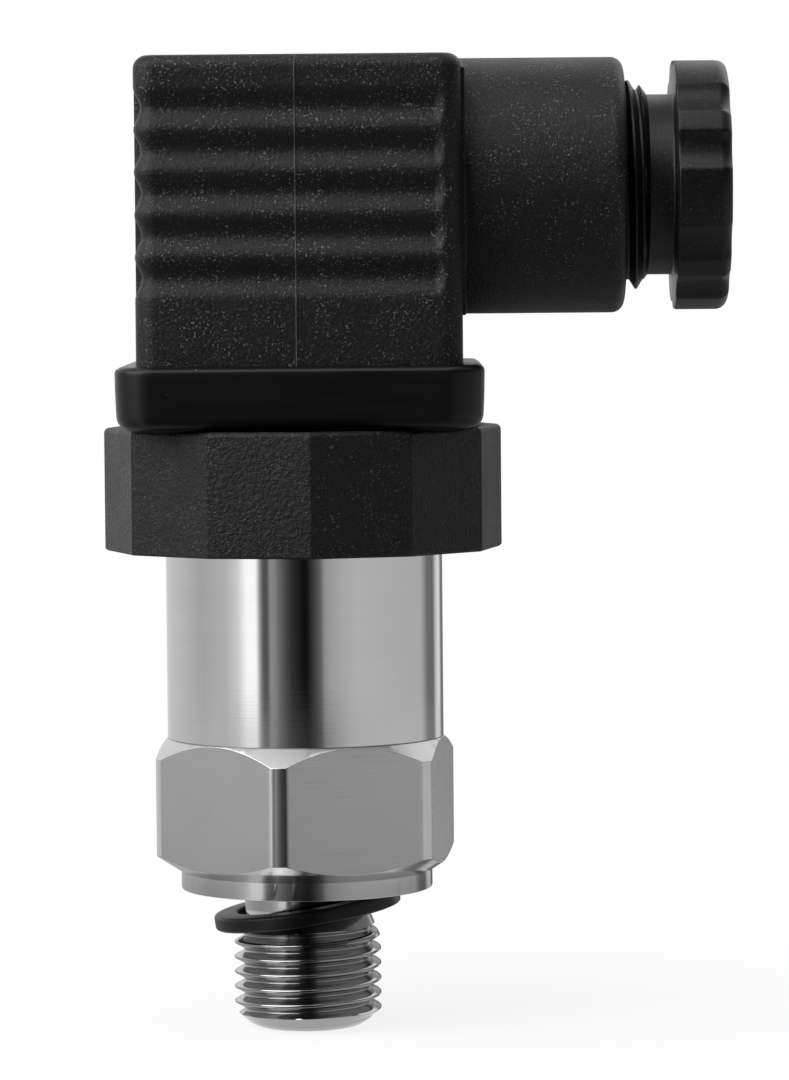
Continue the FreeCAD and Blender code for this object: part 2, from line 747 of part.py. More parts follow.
def row(body, name, feature):
    pattern = body.newObject("PartDesign::LinearPattern", name)
    pattern.Originals = [feature]
    pattern.Direction = (plane_of(body, "Z_Axis"), [""])
    pattern.Reversed = True
    pattern.Occurrences = 5
    bind(pattern, "Length", "4 * rib_pitch")
    body.Tip = pattern
    document.recompute()
    return pattern


def gland_boss(body):
    pad_sketch = new_sketch(body, "PadOutline", "YZ_Plane", "plug_half")
    reach = "boss_dia / 2 + pad_margin"
    half = "plug_half - plug_corner"
    top = "plug_top - plug_edge"
    add_outline(pad_sketch, rectangle("0 - (" + half + ")", "gland_height - (" + reach + ")", half, top))
    pad(body, "RaisedPad", pad_sketch, "pad_rise")
    boss = new_sketch(body, "BossOutline", "YZ_Plane", "pad_face")
    add_circle(boss, "0", "gland_height", "boss_dia / 2")
    pad(body, "Boss", boss, "boss_length")
    end = value("boss_end")
    rounded(body, "BossEdge", "boss_edge",
            lambda edge: edge.BoundBox.XLength < 1e-4 and abs(edge.BoundBox.XMin - end) < 1e-3)


def plug_inside(body):
    cavity = new_sketch(body, "Cavity", "XY_Plane", "roof")
    add_outline(cavity, centred("2 * cavity_half"))
    pocket(body, "Hollow", cavity, "roof - plug_foot")
    column = new_sketch(body, "ColumnOutline", "XY_Plane", "column_foot")
    add_circle(column, "0", "0", "column_dia / 2")
    pad(body, "Column", column, "plug_top - plug_edge - column_foot")
    lugs = new_sketch(body, "LugOutline", "XY_Plane", "insert_foot - lug_height")
    low, high = "cavity_half - lug_reach", "cavity_half + plug_wall / 2"
    add_outline(lugs, rectangle("0 - lug_width / 2", low, "lug_width / 2", high))
    add_outline(lugs, rectangle("0 - lug_width / 2", "0 - (%s)" % high, "lug_width / 2", "0 - (%s)" % low))
    pad(body, "SnapLugs", lugs, "lug_height")
    recess = new_sketch(body, "Recess", "XY_Plane", "plug_top")
    add_circle(recess, "0", "0", "recess_dia / 2")
    pocket(body, "HeadRecess", recess, "plug_top - recess_floor")
    shank = new_sketch(body, "ShankHole", "XY_Plane", "recess_floor")
    add_circle(shank, "0", "0", "screw_dia / 2 + screw_clearance")
    pocket(body, "ScrewHole", shank, "recess_floor - column_foot")
    thread = new_sketch(body, "GlandThread", "YZ_Plane", "boss_end")
    add_circle(thread, "0", "gland_height", "gland_thread_dia / 2 + thread_fit / 2")
    pocket(body, "ThreadBore", thread, "gland_bore_depth")
    seat = new_sketch(body, "GrommetSeat", "YZ_Plane", "seat_mouth")
    add_circle(seat, "0", "gland_height", "seat_dia / 2")
    pocket(body, "SeatBore", seat, "seat_depth")
    way = new_sketch(body, "CableHole", "YZ_Plane", "seat_floor")
    add_circle(way, "0", "gland_height", "cable_hole_dia / 2")
    pocket(body, "CableWay", way, "seat_floor - cavity_half")


# ---- fixing screw ----------------------------------------------------------

def fixing_screw():
    body = new_body("fixing_screw")
    shank = new_sketch(body, "Shank", "XY_Plane", "screw_end")
    add_circle(shank, "0", "0", "screw_dia / 2")
    pad(body, "Stem", shank, "head_foot - screw_end")
    head = new_sketch(body, "Head", "XY_Plane", "head_foot")
    add_circle(head, "0", "0", "screw_head_dia / 2")
    pad(body, "CheeseHead", head, "screw_head")
    slot = new_sketch(body, "SlotOutline", "XY_Plane", "head_top")
    add_outline(slot, centred("screw_head_dia + 1", "screw_slot"))
    pocket(body, "DriverSlot", slot, "screw_head / 2")
    return body


def screw_ring():
    """Captive ring that seals under the screw's head."""
    middle = "screw_dia / 2 + thread_fit + screw_seal / 2"
    return squeezed_ring("screw_ring", middle, "screw_seal", "recess_floor", "head_foot - thread_fit")


# ---- terminal insert -------------------------------------------------------

def clamp_rectangle(gap):
    half = "clamp_width / 2 + " + gap
    return rectangle("clamp_inner - " + gap, "0 - (" + half + ")", "clamp_outer + " + gap, half)


def terminal_insert():
    """Contact carrier that clips into the plug and holds the four clamps."""
    body = new_body("terminal_insert")
    outline = new_sketch(body, "Outline", "XY_Plane", "insert_foot")
    add_outline(outline, centred("2 * (cavity_half - insert_gap)"))
    pad(body, "Block", outline, "insert_height")
    rounded(body, "Corners", "insert_corner", is_upright)
    hole = new_sketch(body, "ScrewWay", "XY_Plane", "insert_top")
    add_circle(hole, "0", "0", "screw_dia / 2 + screw_clearance")
    pocket(body, "ScrewHole", hole, "insert_height")
    cell = new_sketch(body, "ClampCell", "XY_Plane", "insert_top")
    add_outline(cell, clamp_rectangle("clamp_fit"))
    first = pocket(body, "FirstCell", cell, "insert_top - clamp_foot")
    polar(body, "Cells", first, 4)
    way = new_sketch(body, "BladeWay", "XY_Plane", "clamp_foot")
    add_outline(way, fitted_blade())
    first = pocket(body, "FirstWay", way, "clamp_foot - insert_foot")
    polar(body, "BladeWays", first, 4)
    return body


def fitted_blade():
    half, thin = "blade_width / 2 + clamp_fit", "blade_thickness / 2 + clamp_fit"
    return rectangle("blade_place - (" + thin + ")", "0 - (" + half + ")", "blade_place + " + thin, half)


def terminal_clamps():
    """Four brass clamps, each with a blade slot and a screw hole."""
    body = new_body("terminal_clamps")
    block = new_sketch(body, "BlockOutline", "XY_Plane", "clamp_foot")
    add_outline(block, clamp_rectangle("0"))
    first = pad(body, "FirstBlock", block, "clamp_tall")
    polar(body, "Blocks", first, 4)
    way = new_sketch(body, "BladeSlot", "XY_Plane", "hub_top + blade_rise + clamp_fit")
    add_outline(way, fitted_blade())
    first = pocket(body, "FirstSlot", way, "hub_top + blade_rise + clamp_fit - clamp_foot")
    polar(body, "BladeSlots", first, 4)
    hole = new_sketch(body, "ScrewHole", "XY_Plane", "clamp_top")
    add_circle(hole, "terminal_place", "0", "terminal_dia / 2 + thread_fit")
    first = pocket(body, "FirstHole", hole, "terminal_depth + clamp_fit")
    polar(body, "ScrewHoles", first, 4)
    return body


def terminal_screws():
    body = new_body("terminal_screws")
    head = new_sketch(body, "Head", "XY_Plane", "clamp_top")
    add_circle(head, "terminal_place", "0", "terminal_head_dia / 2")
    first = pad(body, "FirstHead", head, "terminal_head")
    polar(body, "Heads", first, 4)
    shank = new_sketch(body, "Shank", "XY_Plane", "clamp_top - terminal_depth")
    add_circle(shank, "terminal_place", "0", "terminal_dia / 2")
    first = pad(body, "FirstShank", shank, "terminal_depth")
    polar(body, "Shanks", first, 4)
    return body


# ---- cable gland -----------------------------------------------------------

def gland_nut():
    """Compression nut: threaded stem, neck and a head with finger flutes."""
    body = new_body("gland_nut")
    thread = "gland_thread_dia / 2 - thread_fit / 2"
    head = "nut_head_dia / 2"
    profile = [
        ("nut_bore_dia / 2", "nut_nose"),
        (thread + " - nut_edge", "nut_nose"),
        (thread, "nut_nose + nut_edge"),
        (thread, "thread_out"),
        ("nut_neck_dia / 2", "thread_out"),
        ("nut_neck_dia / 2", "head_back"),
        (head, "head_back"),
        (head, "nut_end"),
        ("nut_bore_dia / 2", "nut_end"),
    ]
    turned(body, "Blank", profile)
    rounded(body, "OuterEdge", "nut_edge",
            lambda edge: is_level(edge, value("nut_end")) and edge.Curve.Radius > value("nut_neck_dia / 2"))
    flutes = new_sketch(body, "Flutes", "XY_Plane", "nut_end")
    reach = "(nut_head_dia / 2 - flute_sink + flute_radius)"
    for side in (" - flute_angle", " + flute_angle"):
        angle = "((90 - nut_turn" + side + ") * 1 deg)"
        add_circle(flutes, reach + " * cos" + angle, reach + " * sin" + angle, "flute_radius")
    first = pocket(body, "FirstFlutes", flutes, "nut_head")
    polar(body, "FingerFlutes", first, 5)
    lay_along_x(body)
    return body


def gland_washer():
    body = new_body("gland_washer")
    low = "washer_face - washer_thickness"
    turned(body, "Washer", tube_profile("cable_hole_dia / 2", "seat_dia / 2 - ring_fit", low, "washer_face"))
    lay_along_x(body)
    return body


def gland_grommet():
    """Rubber sleeve that the nut squeezes round the cable."""
    body = new_body("gland_grommet")
    high = "seat_floor + grommet_length"
    turned(body, "Sleeve", tube_profile("grommet_bore / 2", "seat_dia / 2 - ring_fit", "seat_floor", high))
    lay_along_x(body)
    return body


fill_sheet()
sub_parts = [
    process_body(),
    thread_seal(),
    cell_seal(),
    pressure_cell(),
    cell_clamp_ring(),
    cell_pins(),
    case_tube(),
    board_spacer(),
    amplifier_board(),
    signal_chip(),
    board_capacitors(),
    lead_wires(),
    connector_base(),
    contact_blades(),
    base_nut(),
    case_seal(),
    collar_ring(),
    plug_gasket(),
    plug_housing(),
    terminal_insert(),
    terminal_clamps(),
    terminal_screws(),
    fixing_screw(),
    screw_ring(),
    gland_nut(),
    gland_washer(),
    gland_grommet(),
]
document.recompute()
for thing in document.Objects:
    if "Invalid" in thing.State or "Error" in thing.State:
        raise ValueError(thing.Name + " failed: " + str(thing.State))
os.makedirs("parts", exist_ok=True)
for part in sub_parts:
    if part.Shape.isNull() or not part.Shape.isValid():
        raise ValueError(part.Label + " has no valid shape")
    part.Shape.exportStep("parts/" + part.Label + ".step")
    print(part.Label, len(part.Shape.Solids), round(part.Shape.Volume, 1))
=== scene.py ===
import json
from math import atan, cos, pi, radians, sin, sqrt, tan

import bmesh
import bpy
import numpy as np
from mathutils import Matrix, Vector


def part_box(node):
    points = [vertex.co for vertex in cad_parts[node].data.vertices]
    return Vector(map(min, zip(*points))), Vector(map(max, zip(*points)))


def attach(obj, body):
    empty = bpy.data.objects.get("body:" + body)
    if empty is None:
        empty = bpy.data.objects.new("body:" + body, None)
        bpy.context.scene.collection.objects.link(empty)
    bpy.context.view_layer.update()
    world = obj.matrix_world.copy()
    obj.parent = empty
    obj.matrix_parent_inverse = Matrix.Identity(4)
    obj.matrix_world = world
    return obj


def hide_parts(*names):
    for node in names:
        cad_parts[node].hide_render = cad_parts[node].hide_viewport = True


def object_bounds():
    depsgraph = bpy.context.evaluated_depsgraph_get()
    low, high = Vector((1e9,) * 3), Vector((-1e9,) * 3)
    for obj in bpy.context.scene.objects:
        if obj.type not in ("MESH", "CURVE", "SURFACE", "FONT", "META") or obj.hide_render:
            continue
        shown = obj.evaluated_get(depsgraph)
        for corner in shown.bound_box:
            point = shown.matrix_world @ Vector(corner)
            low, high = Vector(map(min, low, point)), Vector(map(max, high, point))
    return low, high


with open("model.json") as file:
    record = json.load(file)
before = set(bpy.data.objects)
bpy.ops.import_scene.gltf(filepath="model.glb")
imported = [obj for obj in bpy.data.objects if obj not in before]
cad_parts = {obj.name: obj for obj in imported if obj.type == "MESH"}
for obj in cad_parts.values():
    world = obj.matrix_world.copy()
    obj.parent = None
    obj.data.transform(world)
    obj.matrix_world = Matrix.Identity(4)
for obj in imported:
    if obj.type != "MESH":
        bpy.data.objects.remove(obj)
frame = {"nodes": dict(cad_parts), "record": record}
cadLow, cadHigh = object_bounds()
mm = 0.001  # a piece's lengths are in millimetres until its mesh is made
seamAt = -0.2  # the hood's parting line, from its middle
print("frame loaded,", len(frame["nodes"]), "nodes")


def corners(node):  # a node's lowest and highest corner in millimetres
    low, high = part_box(node)
    return low / mm, high / mm


# node trees written as arithmetic

class Wire:  # an output socket that takes part in sums
    def __init__(self, net, socket):
        self.net = net
        self.socket = socket

    def other(self, name):  # another output of the same node
        node = self.socket.node
        return Wire(self.net, next(s for s in node.outputs if s.name == name and s.enabled))

    def maths(self, operation, *values):
        return self.net.add("ShaderNodeMath", {"operation": operation}, dict(enumerate(values)))

    def __add__(self, value):
        return self.maths("ADD", self, value)

    def __radd__(self, value):
        return self.maths("ADD", value, self)

    def __sub__(self, value):
        return self.maths("SUBTRACT", self, value)

    def __rsub__(self, value):
        return self.maths("SUBTRACT", value, self)

    def __mul__(self, value):
        return self.maths("MULTIPLY", self, value)

    def __rmul__(self, value):
        return self.maths("MULTIPLY", value, self)

    def __truediv__(self, value):
        return self.maths("DIVIDE", self, value)

    def __rtruediv__(self, value):
        return self.maths("DIVIDE", value, self)

    def __pow__(self, value):
        return self.maths("POWER", self, value)

    def least(self, value):
        return self.maths("MINIMUM", self, value)

    def most(self, value):
        return self.maths("MAXIMUM", self, value)

    def only(self, operation):
        return self.maths(operation, self)

    def climb(self, start, end):  # 0 at start, 1 at end, eased between
        values = {"Value": self, "From Min": start, "From Max": end}
        return self.net.add("ShaderNodeMapRange", {"interpolation_type": "SMOOTHSTEP"}, values)


class Net:  # builds a shader tree or a geometry tree
    def __init__(self, tree):
        self.tree = tree

    def add(self, kind, settings=None, values=None):
        node = self.tree.nodes.new(kind)
        for name, setting in (settings or {}).items():
            if name == "stops":
                self.setStops(node.color_ramp, setting)
            else:
                setattr(node, name, setting)
        for key, value in (values or {}).items():
            socket = node.inputs[key] if isinstance(key, int) else next(
                s for s in node.inputs if s.name == key and s.enabled)
            if isinstance(value, Wire):
                self.tree.links.new(value.socket, socket)
            else:
                socket.default_value = value
        return Wire(self, next(s for s in node.outputs if s.enabled)) if node.outputs else node

    def setStops(self, ramp, stops):
        while len(ramp.elements) < len(stops):
            ramp.elements.new(1)
        for element, (place, grey) in zip(ramp.elements, stops):
            element.position = place
            element.color = (grey, grey, grey, 1)

    def vector(self, operation, first, second):
        key = "Scale" if operation == "SCALE" else 1
        return self.add("ShaderNodeVectorMath", {"operation": operation}, {0: first, key: second})

    def parts(self, vector):  # x, y and z of a vector
        split = self.add("ShaderNodeSeparateXYZ", None, {"Vector": vector})
        return split, split.other("Y"), split.other("Z")

    def joined(self, x, y, z):
        return self.add("ShaderNodeCombineXYZ", None, {"X": x, "Y": y, "Z": z})


def emptyNet(owner):  # the cleared node tree of a material or the world
    owner.use_nodes = True
    owner.node_tree.nodes.clear()
    return Net(owner.node_tree)


# shapes

def placed(name, data):  # an object in the scene
    thing = bpy.data.objects.new(name, data)
    bpy.context.scene.collection.objects.link(thing)
    return thing


def roundAngles(columns):
    return [2 * pi * index / columns for index in range(columns)]


def polygonReach(angle, sides, flat, edge, turn=0):  # centre to a polygon's edge, corners rounded
    sector = 2 * pi / sides
    lean = abs((angle - turn + sector / 2) % sector - sector / 2)
    if lean <= atan((flat - edge) * tan(sector / 2) / flat):
        return flat / cos(lean)
    away = (flat - edge) / cos(sector / 2)
    rest = sector / 2 - lean
    return away * cos(rest) + sqrt(max(edge ** 2 - (away * sin(rest)) ** 2, 0))


def eased(points, steps=5):  # rounds the corners of a section; a point is (across, up, radius)
    path = []
    count = len(points)
    for index, (across, up, radius) in enumerate(points):
        here = Vector((across, up))
        back = Vector(points[index - 1][:2]) - here
        ahead = Vector(points[(index + 1) % count][:2]) - here
        if not radius:
            path.append((across, up))
            continue
        half = back.angle(ahead) / 2
        trim = radius / tan(half)
        middle = here + (back.normalized() + ahead.normalized()).normalized() * (radius / sin(half))
        start = here + back.normalized() * trim - middle
        end = here + ahead.normalized() * trim - middle
        swing = start.angle_signed(end)
        for step in range(steps + 1):
            turned = start.copy()
            turned.rotate(Matrix.Rotation(-swing * step / steps, 2))
            path.append(tuple(middle + turned))
    return path


def spun(section, angles):  # rings of a section of (radius, height) about Z
    turns = np.array(angles)
    rings = [np.stack([r * np.cos(turns), r * np.sin(turns), np.full(len(turns), z)], 1) for r, z in section]
    return np.array(rings)


def alongX(rings, height):  # what was made about Z points along X at a height
    turned = rings[..., [2, 0, 1]].copy()
    turned[..., 2] += height
    return turned


def meshFrom(name, rings, closed=True, smoothTo=35):  # one skin over rings of equal count
    rows, columns = rings.shape[:2]
    indices = np.arange(rows * columns).reshape(rows, columns)
    lower = indices if closed else indices[:-1]
    upper = np.roll(indices, -1, 0) if closed else indices[1:]
    faces = np.stack([lower, np.roll(lower, -1, 1), np.roll(upper, -1, 1), upper], -1).reshape(-1, 4)
    mesh = bpy.data.meshes.new(name)
    mesh.from_pydata((rings.reshape(-1, 3) * mm).tolist(), [], faces.tolist())
    return pieceFrom(name, mesh, smoothTo)


def pieceFrom(name, mesh, smoothTo=35):
    piece = placed(name, mesh)
    cleaned(mesh, smoothTo)
    return piece


def cleaned(mesh, smoothTo=35):  # doubles merged, faces outwards, edges sharp past an angle
    near = 0.0004 * mm
    work = bmesh.new()
    work.from_mesh(mesh)
    bmesh.ops.remove_doubles(work, verts=work.verts, dist=near)
    bmesh.ops.dissolve_degenerate(work, edges=work.edges, dist=near)
    bmesh.ops.recalc_face_normals(work, faces=work.faces)
    work.to_mesh(mesh)
    work.free()
    mesh.shade_smooth()
    mesh.set_sharp_from_angle(angle=radians(smoothTo))


def applied(piece):  # the modifiers' result becomes the mesh
    graph = bpy.context.evaluated_depsgraph_get()
    graph.update()
    mesh = bpy.data.meshes.new_from_object(piece.evaluated_get(graph))
    mesh.name = piece.name
    piece.modifiers.clear()
    piece.data = mesh
    return piece


def cutOrJoined(piece, *steps):  # boolean steps of (operation, other piece)
    for operation, other in steps:
        step = piece.modifiers.new(operation, "BOOLEAN")
        step.operation = operation
        step.solver = "EXACT"
        step.object = other
        other.hide_render = True
    applied(piece)
    for operation, other in steps:
        bpy.data.objects.remove(other)
    return piece


def broken(piece, width, sharper=30, segments=2):  # breaks the sharp edges by a small width
    bevel = piece.modifiers.new("brokenEdges", "BEVEL")
    bevel.width = width * mm
    bevel.segments = segments
    bevel.limit_method = "ANGLE"
    bevel.angle_limit = radians(sharper)
    bevel.use_clamp_overlap = True
    bevel.harden_normals = True
    return applied(piece)


def weighted(piece):  # large faces keep their own normal beside small bevels
    step = piece.modifiers.new("weighted", "WEIGHTED_NORMAL")
    step.keep_sharp = True
    return applied(piece)


def moved(piece, height, turn=Matrix()):  # turned, then raised to a height
    piece.data.transform(Matrix.Translation((0, 0, height * mm)) @ turn)


def merged(name, *pieces):  # several open skins welded into one
    work = bmesh.new()
    for piece in pieces:
        work.from_mesh(piece.data)
        bpy.data.objects.remove(piece)
    mesh = bpy.data.meshes.new(name)
    work.to_mesh(mesh)
    work.free()
    return pieceFrom(name, mesh)


def block(name, low, high):  # a box from corner to corner
    work = bmesh.new()
    bmesh.ops.create_cube(work, size=1)
    for vertex in work.verts:
        share = vertex.co + Vector((0.5, 0.5, 0.5))
        vertex.co = (low + Vector(a * b for a, b in zip(share, high - low))) * mm
    mesh = bpy.data.meshes.new(name)
    work.to_mesh(mesh)
    work.free()
    return pieceFrom(name, mesh)


def mounted(piece, body, slot, *nodes):  # onto its body, in place of its nodes
    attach(piece, body)
    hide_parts(*nodes)
    return piece


def geometryTree(name, sizes):  # a tree with named inputs and its entry wires
    tree = bpy.data.node_groups.new(name, "GeometryNodeTree")
    tree.interface.new_socket("Geometry", in_out="INPUT", socket_type="NodeSocketGeometry")
    for label in sizes:
        tree.interface.new_socket(label, in_out="INPUT", socket_type="NodeSocketFloat")
    tree.interface.new_socket("Material", in_out="INPUT", socket_type="NodeSocketMaterial")
    tree.interface.new_socket("Geometry", in_out="OUTPUT", socket_type="NodeSocketGeometry")
    net = Net(tree)
    return net, net.add("NodeGroupInput")


def closeTree(net, entry, shape):
    real = net.add("GeometryNodeRealizeInstances", None, {"Geometry": shape})
    values = {"Geometry": real, "Material": entry.other("Material")}
    dressed = net.add("GeometryNodeSetMaterial", None, values)
    net.add("NodeGroupOutput", None, {"Geometry": dressed})
    return net.tree


def grown(piece, tree, sizes, material):  # runs a geometry tree on a piece and keeps its mesh
    step = piece.modifiers.new(tree.name, "NODES")
    step.node_group = tree
    values = dict(sizes, Material=material)
    for item in tree.interface.items_tree:
        if item.in_out == "INPUT" and item.name in values:
            step[item.identifier] = values[item.name]
    return applied(piece)


# finishes

def newFinish(name):
    material = bpy.data.materials.new(name)
    net = emptyNet(material)
    place = net.vector("SCALE", net.add("ShaderNodeTexCoord").other("Object"), 1 / mm)
    return material, net, place


def closeFinish(net, **sockets):
    values = {name.replace("_", " "): value for name, value in sockets.items()}
    surface = net.add("ShaderNodeBsdfPrincipled", None, values)
    net.add("ShaderNodeOutputMaterial", None, {"Surface": surface})


def grain(net, place, scale, detail=2.0, rough=0.5):  # noise around a half
    values = {"Vector": place, "Scale": scale, "Detail": detail, "Roughness": rough}
    return net.add("ShaderNodeTexNoise", None, values)


def specks(net, place, scale, share, size):  # 1 in a few scattered dots, 0 elsewhere
    cells = net.add("ShaderNodeTexVoronoi", None, {"Vector": place, "Scale": scale})
    chance = net.parts(cells.other("Color"))[0]
    dot = cells.climb(size, size * 0.4)
    return dot * chance.climb(1 - share, 1 - share * 0.8)


def mixed(net, factor, first, second, blend="MIX"):
    settings = {"data_type": "RGBA", "blend_type": blend}
    return net.add("ShaderNodeMix", settings, {"Factor": factor, "A": first, "B": second})


def greys(net, factor, dark, light):  # a colour between two tones
    return mixed(net, factor, (*dark, 1), (*light, 1))


def added(net, first, second):
    return mixed(net, 1.0, first, second, "ADD")


def bumped(net, height, distance):
    return net.add("ShaderNodeBump", None, {"Height": height, "Distance": distance * mm, "Strength": 1.0})


dustColour = (0.3, 0.29, 0.27)
softGloss = 0.3  # specular level of the black plastics and rubbers


mouldings = {  # grain per mm and its height, roughness, how much painted glints and dust show
    "hoodPlastic": {"tone": 0.0025, "grain": 3.4, "height": 0.1, "rough": 0.47, "glint": 0.15, "dust": 0.1},
    "ringPlastic": {"tone": 0.003, "grain": 2.5, "height": 0.2, "rough": 0.47, "glint": 0.09, "dust": 0.08},
    "nutPlastic": {"tone": 0.003, "grain": 4.5, "height": 0.03, "rough": 0.38, "glint": 0.05, "dust": 0.14},
    "innerPlastic": {"tone": 0.012, "grain": 4.0, "height": 0.02, "rough": 0.5, "glint": 0.0, "dust": 0.0},
}


def mouldedPlastic(name, seam=None):
    sizes = mouldings[name]
    material, net, place = newFinish(name)
    coarse = grain(net, place, sizes["grain"], 3.0, 0.6)
    fine = grain(net, place, sizes["grain"] * 3.1, 2.0)
    patch = grain(net, place, 0.14, 2.0)
    # painted glints: the next three masks make lighter specks in the base colour, standing in for light
    # caught by the grain, denser in some patches
    glintPatches = grain(net, place, 0.45, 3.0).climb(0.35, 0.65)
    glintGrains = grain(net, place, 5.4, 2.0).climb(0.6, 0.7)
    paintedGlints = glintGrains * (glintPatches * 0.85 + 0.15) * sizes["glint"]
    if seam is not None:  # a painted highlight: the parting line's flash is made lighter in colour
        x = net.parts(place)[0]
        seamGlint = 1 - (x - seam).only("ABSOLUTE").climb(0.03, 0.09)
        paintedGlints = paintedGlints.most(seamGlint * (glintGrains * 0.7 + 0.3) * 0.12)
    dust = specks(net, place, 1.1, sizes["dust"], 0.075)
    lint = specks(net, place, 0.5, sizes["dust"], 0.04)
    pits = coarse * 0.7 + fine * 0.3
    shade = pits.climb(0.35, 0.75) * 0.6 + patch * 0.4
    tone = sizes["tone"]
    base = greys(net, shade, (tone * 0.5,) * 3, (tone * 1.8,) * 3)
    # the painted glints are added to the base colour
    bright = net.joined(paintedGlints, paintedGlints, paintedGlints)
    dusty = greys(net, dust.most(lint), (0, 0, 0), dustColour)
    closeFinish(net, Base_Color=added(net, added(net, base, bright), dusty),
                Roughness=patch * 0.16 + (sizes["rough"] - 0.08),
                Normal=bumped(net, pits, sizes["height"]), Specular_IOR_Level=softGloss)
    return material


def smoothRubber(name, tone, rough, dustShare):
    material, net, place = newFinish(name)
    patch = grain(net, place, 0.35, 3.0)
    fine = grain(net, place, 7.0, 2.0)
    dust = specks(net, place, 0.8, dustShare, 0.06)
    wipe = grain(net, net.vector("MULTIPLY", place, (0.15, 0.15, 1.6)), 0.8, 2.0)
    base = greys(net, patch, (tone * 0.6,) * 3, (tone * 1.4,) * 3)
    dusty = greys(net, dust, (0, 0, 0), dustColour)
    closeFinish(net, Base_Color=added(net, base, dusty),
                Roughness=wipe.climb(0.3, 0.7) * 0.06 + (rough - 0.03),
                Normal=bumped(net, fine, 0.006), Specular_IOR_Level=softGloss)
    return material


steels = {  # tone, roughness, depth of the tool lines, how often they come per mm
    "turnedSteel": {"tone": 0.57, "rough": 0.10, "lines": 0.0016, "often": 9.0},
    "tubeSteel": {"tone": 0.60, "rough": 0.055, "lines": 0.0014, "often": 7.0},
    "chamferSteel": {"tone": 0.56, "rough": 0.46, "lines": 0.0016, "often": 9.0},
    # the thread's tone is lower than the turned steel's: painted shade for the shade between its flanks
    "threadSteel": {"tone": 0.36, "rough": 0.13, "lines": 0.0014, "often": 12.0},
    "zincSteel": {"tone": 0.55, "rough": 0.28, "lines": 0.0010, "often": 8.0},
}


def turnedMetal(name):  # lathe lines run round the axis
    sizes = steels[name]
    material, net, place = newFinish(name)
    x, y, z = net.parts(place)
    around = y.maths("ARCTAN2", y, x)
    ring = net.joined(around * 0.9, 0.0, z * sizes["often"])
    lines = grain(net, ring, 1.0, 4.0, 0.7)
    broad = grain(net, net.joined(around * 0.5, 0.0, z * 0.7), 1.0, 2.0)
    stain = grain(net, place, 0.3, 3.0)
    dark = sizes["tone"] * 0.9
    light = sizes["tone"] * 1.06
    colour = greys(net, lines * 0.35 + broad * 0.35 + stain * 0.3, (dark,) * 3, (light, light, light * 0.99))
    closeFinish(net, Base_Color=colour, Metallic=1.0,
                Roughness=stain * 0.04 + lines * 0.04 + (sizes["rough"] - 0.04),
                Normal=bumped(net, lines, sizes["lines"]))
    return material


def milledMetal():  # hexagon flats: long faint cutter marks across, a satin sheen
    material, net, place = newFinish("milledSteel")
    marks = grain(net, net.vector("MULTIPLY", place, (0.25, 0.25, 7.0)), 1.0, 3.0, 0.6)
    cloud = grain(net, place, 0.22, 3.0)
    scuffs = grain(net, net.vector("MULTIPLY", place, (0.08, 0.08, 3.0)), 1.3, 2.0).climb(0.5, 0.8)
    colour = greys(net, cloud * 0.6 + marks * 0.4, (0.44, 0.44, 0.44), (0.52, 0.52, 0.515))
    closeFinish(net, Base_Color=colour, Metallic=1.0, Roughness=cloud * 0.08 + scuffs * 0.06 + 0.24,
                Normal=bumped(net, marks, 0.0016))
    return material


def plainMetal(name, low, high, rough):  # pressed and plated parts inside
    material, net, place = newFinish(name)
    cloud = grain(net, place, 0.9, 3.0)
    fine = grain(net, place, 9.0, 2.0)
    closeFinish(net, Base_Color=greys(net, cloud, low, high), Metallic=1.0,
                Roughness=fine * 0.1 + (rough - 0.05), Normal=bumped(net, fine, 0.002))
    return material


def plainMoulding(name, low, high, rough, grainSize=3.0):  # parts that never see the light
    material, net, place = newFinish(name)
    cloud = grain(net, place, 0.6, 3.0)
    fine = grain(net, place, grainSize, 2.0)
    closeFinish(net, Base_Color=greys(net, cloud, low, high), Roughness=cloud * 0.12 + (rough - 0.06),
                Normal=bumped(net, fine, 0.01))
    return material


finishes = {
    "hood": mouldedPlastic("hoodPlastic", seamAt),
    "ring": mouldedPlastic("ringPlastic"),
    "nut": mouldedPlastic("nutPlastic"),
    "inner": mouldedPlastic("innerPlastic"),
    "gasket": smoothRubber("gasketRubber", 0.002, 0.36, 0.16),
    "seal": smoothRubber("sealRubber", 0.003, 0.38, 0.05),
    "turned": turnedMetal("turnedSteel"),
    "tube": turnedMetal("tubeSteel"),
    "thread": turnedMetal("threadSteel"),
    "chamfer": turnedMetal("chamferSteel"),
    "zinc": turnedMetal("zincSteel"),
    "milled": milledMetal(),
    "brass": plainMetal("stampedBrass", (0.60, 0.42, 0.16), (0.76, 0.57, 0.27), 0.32),
    "tin": plainMetal("brightTin", (0.66, 0.66, 0.64), (0.80, 0.80, 0.78), 0.45),
    "ceramic": plainMoulding("whiteCeramic", (0.78, 0.77, 0.73), (0.9, 0.89, 0.86), 0.5, 6.0),
    "laminate": plainMoulding("greenLaminate", (0.012, 0.12, 0.04), (0.02, 0.2, 0.075), 0.35),
    "natural": plainMoulding("naturalPlastic", (0.68, 0.66, 0.6), (0.8, 0.79, 0.74), 0.5),
    "chip": plainMoulding("chipEpoxy", (0.012, 0.012, 0.013), (0.03, 0.03, 0.03), 0.45, 8.0),
    "lead": plainMoulding("leadSleeve", (0.42, 0.02, 0.015), (0.6, 0.045, 0.03), 0.45),
}
print("finishes made:", len(finishes))


def finished(piece, finish, body, slot, node):  # dressed, shaded evenly and mounted
    piece.data.materials.append(finishes[finish])
    return mounted(weighted(piece), body, slot, node)


# helical thread, grown by geometry nodes

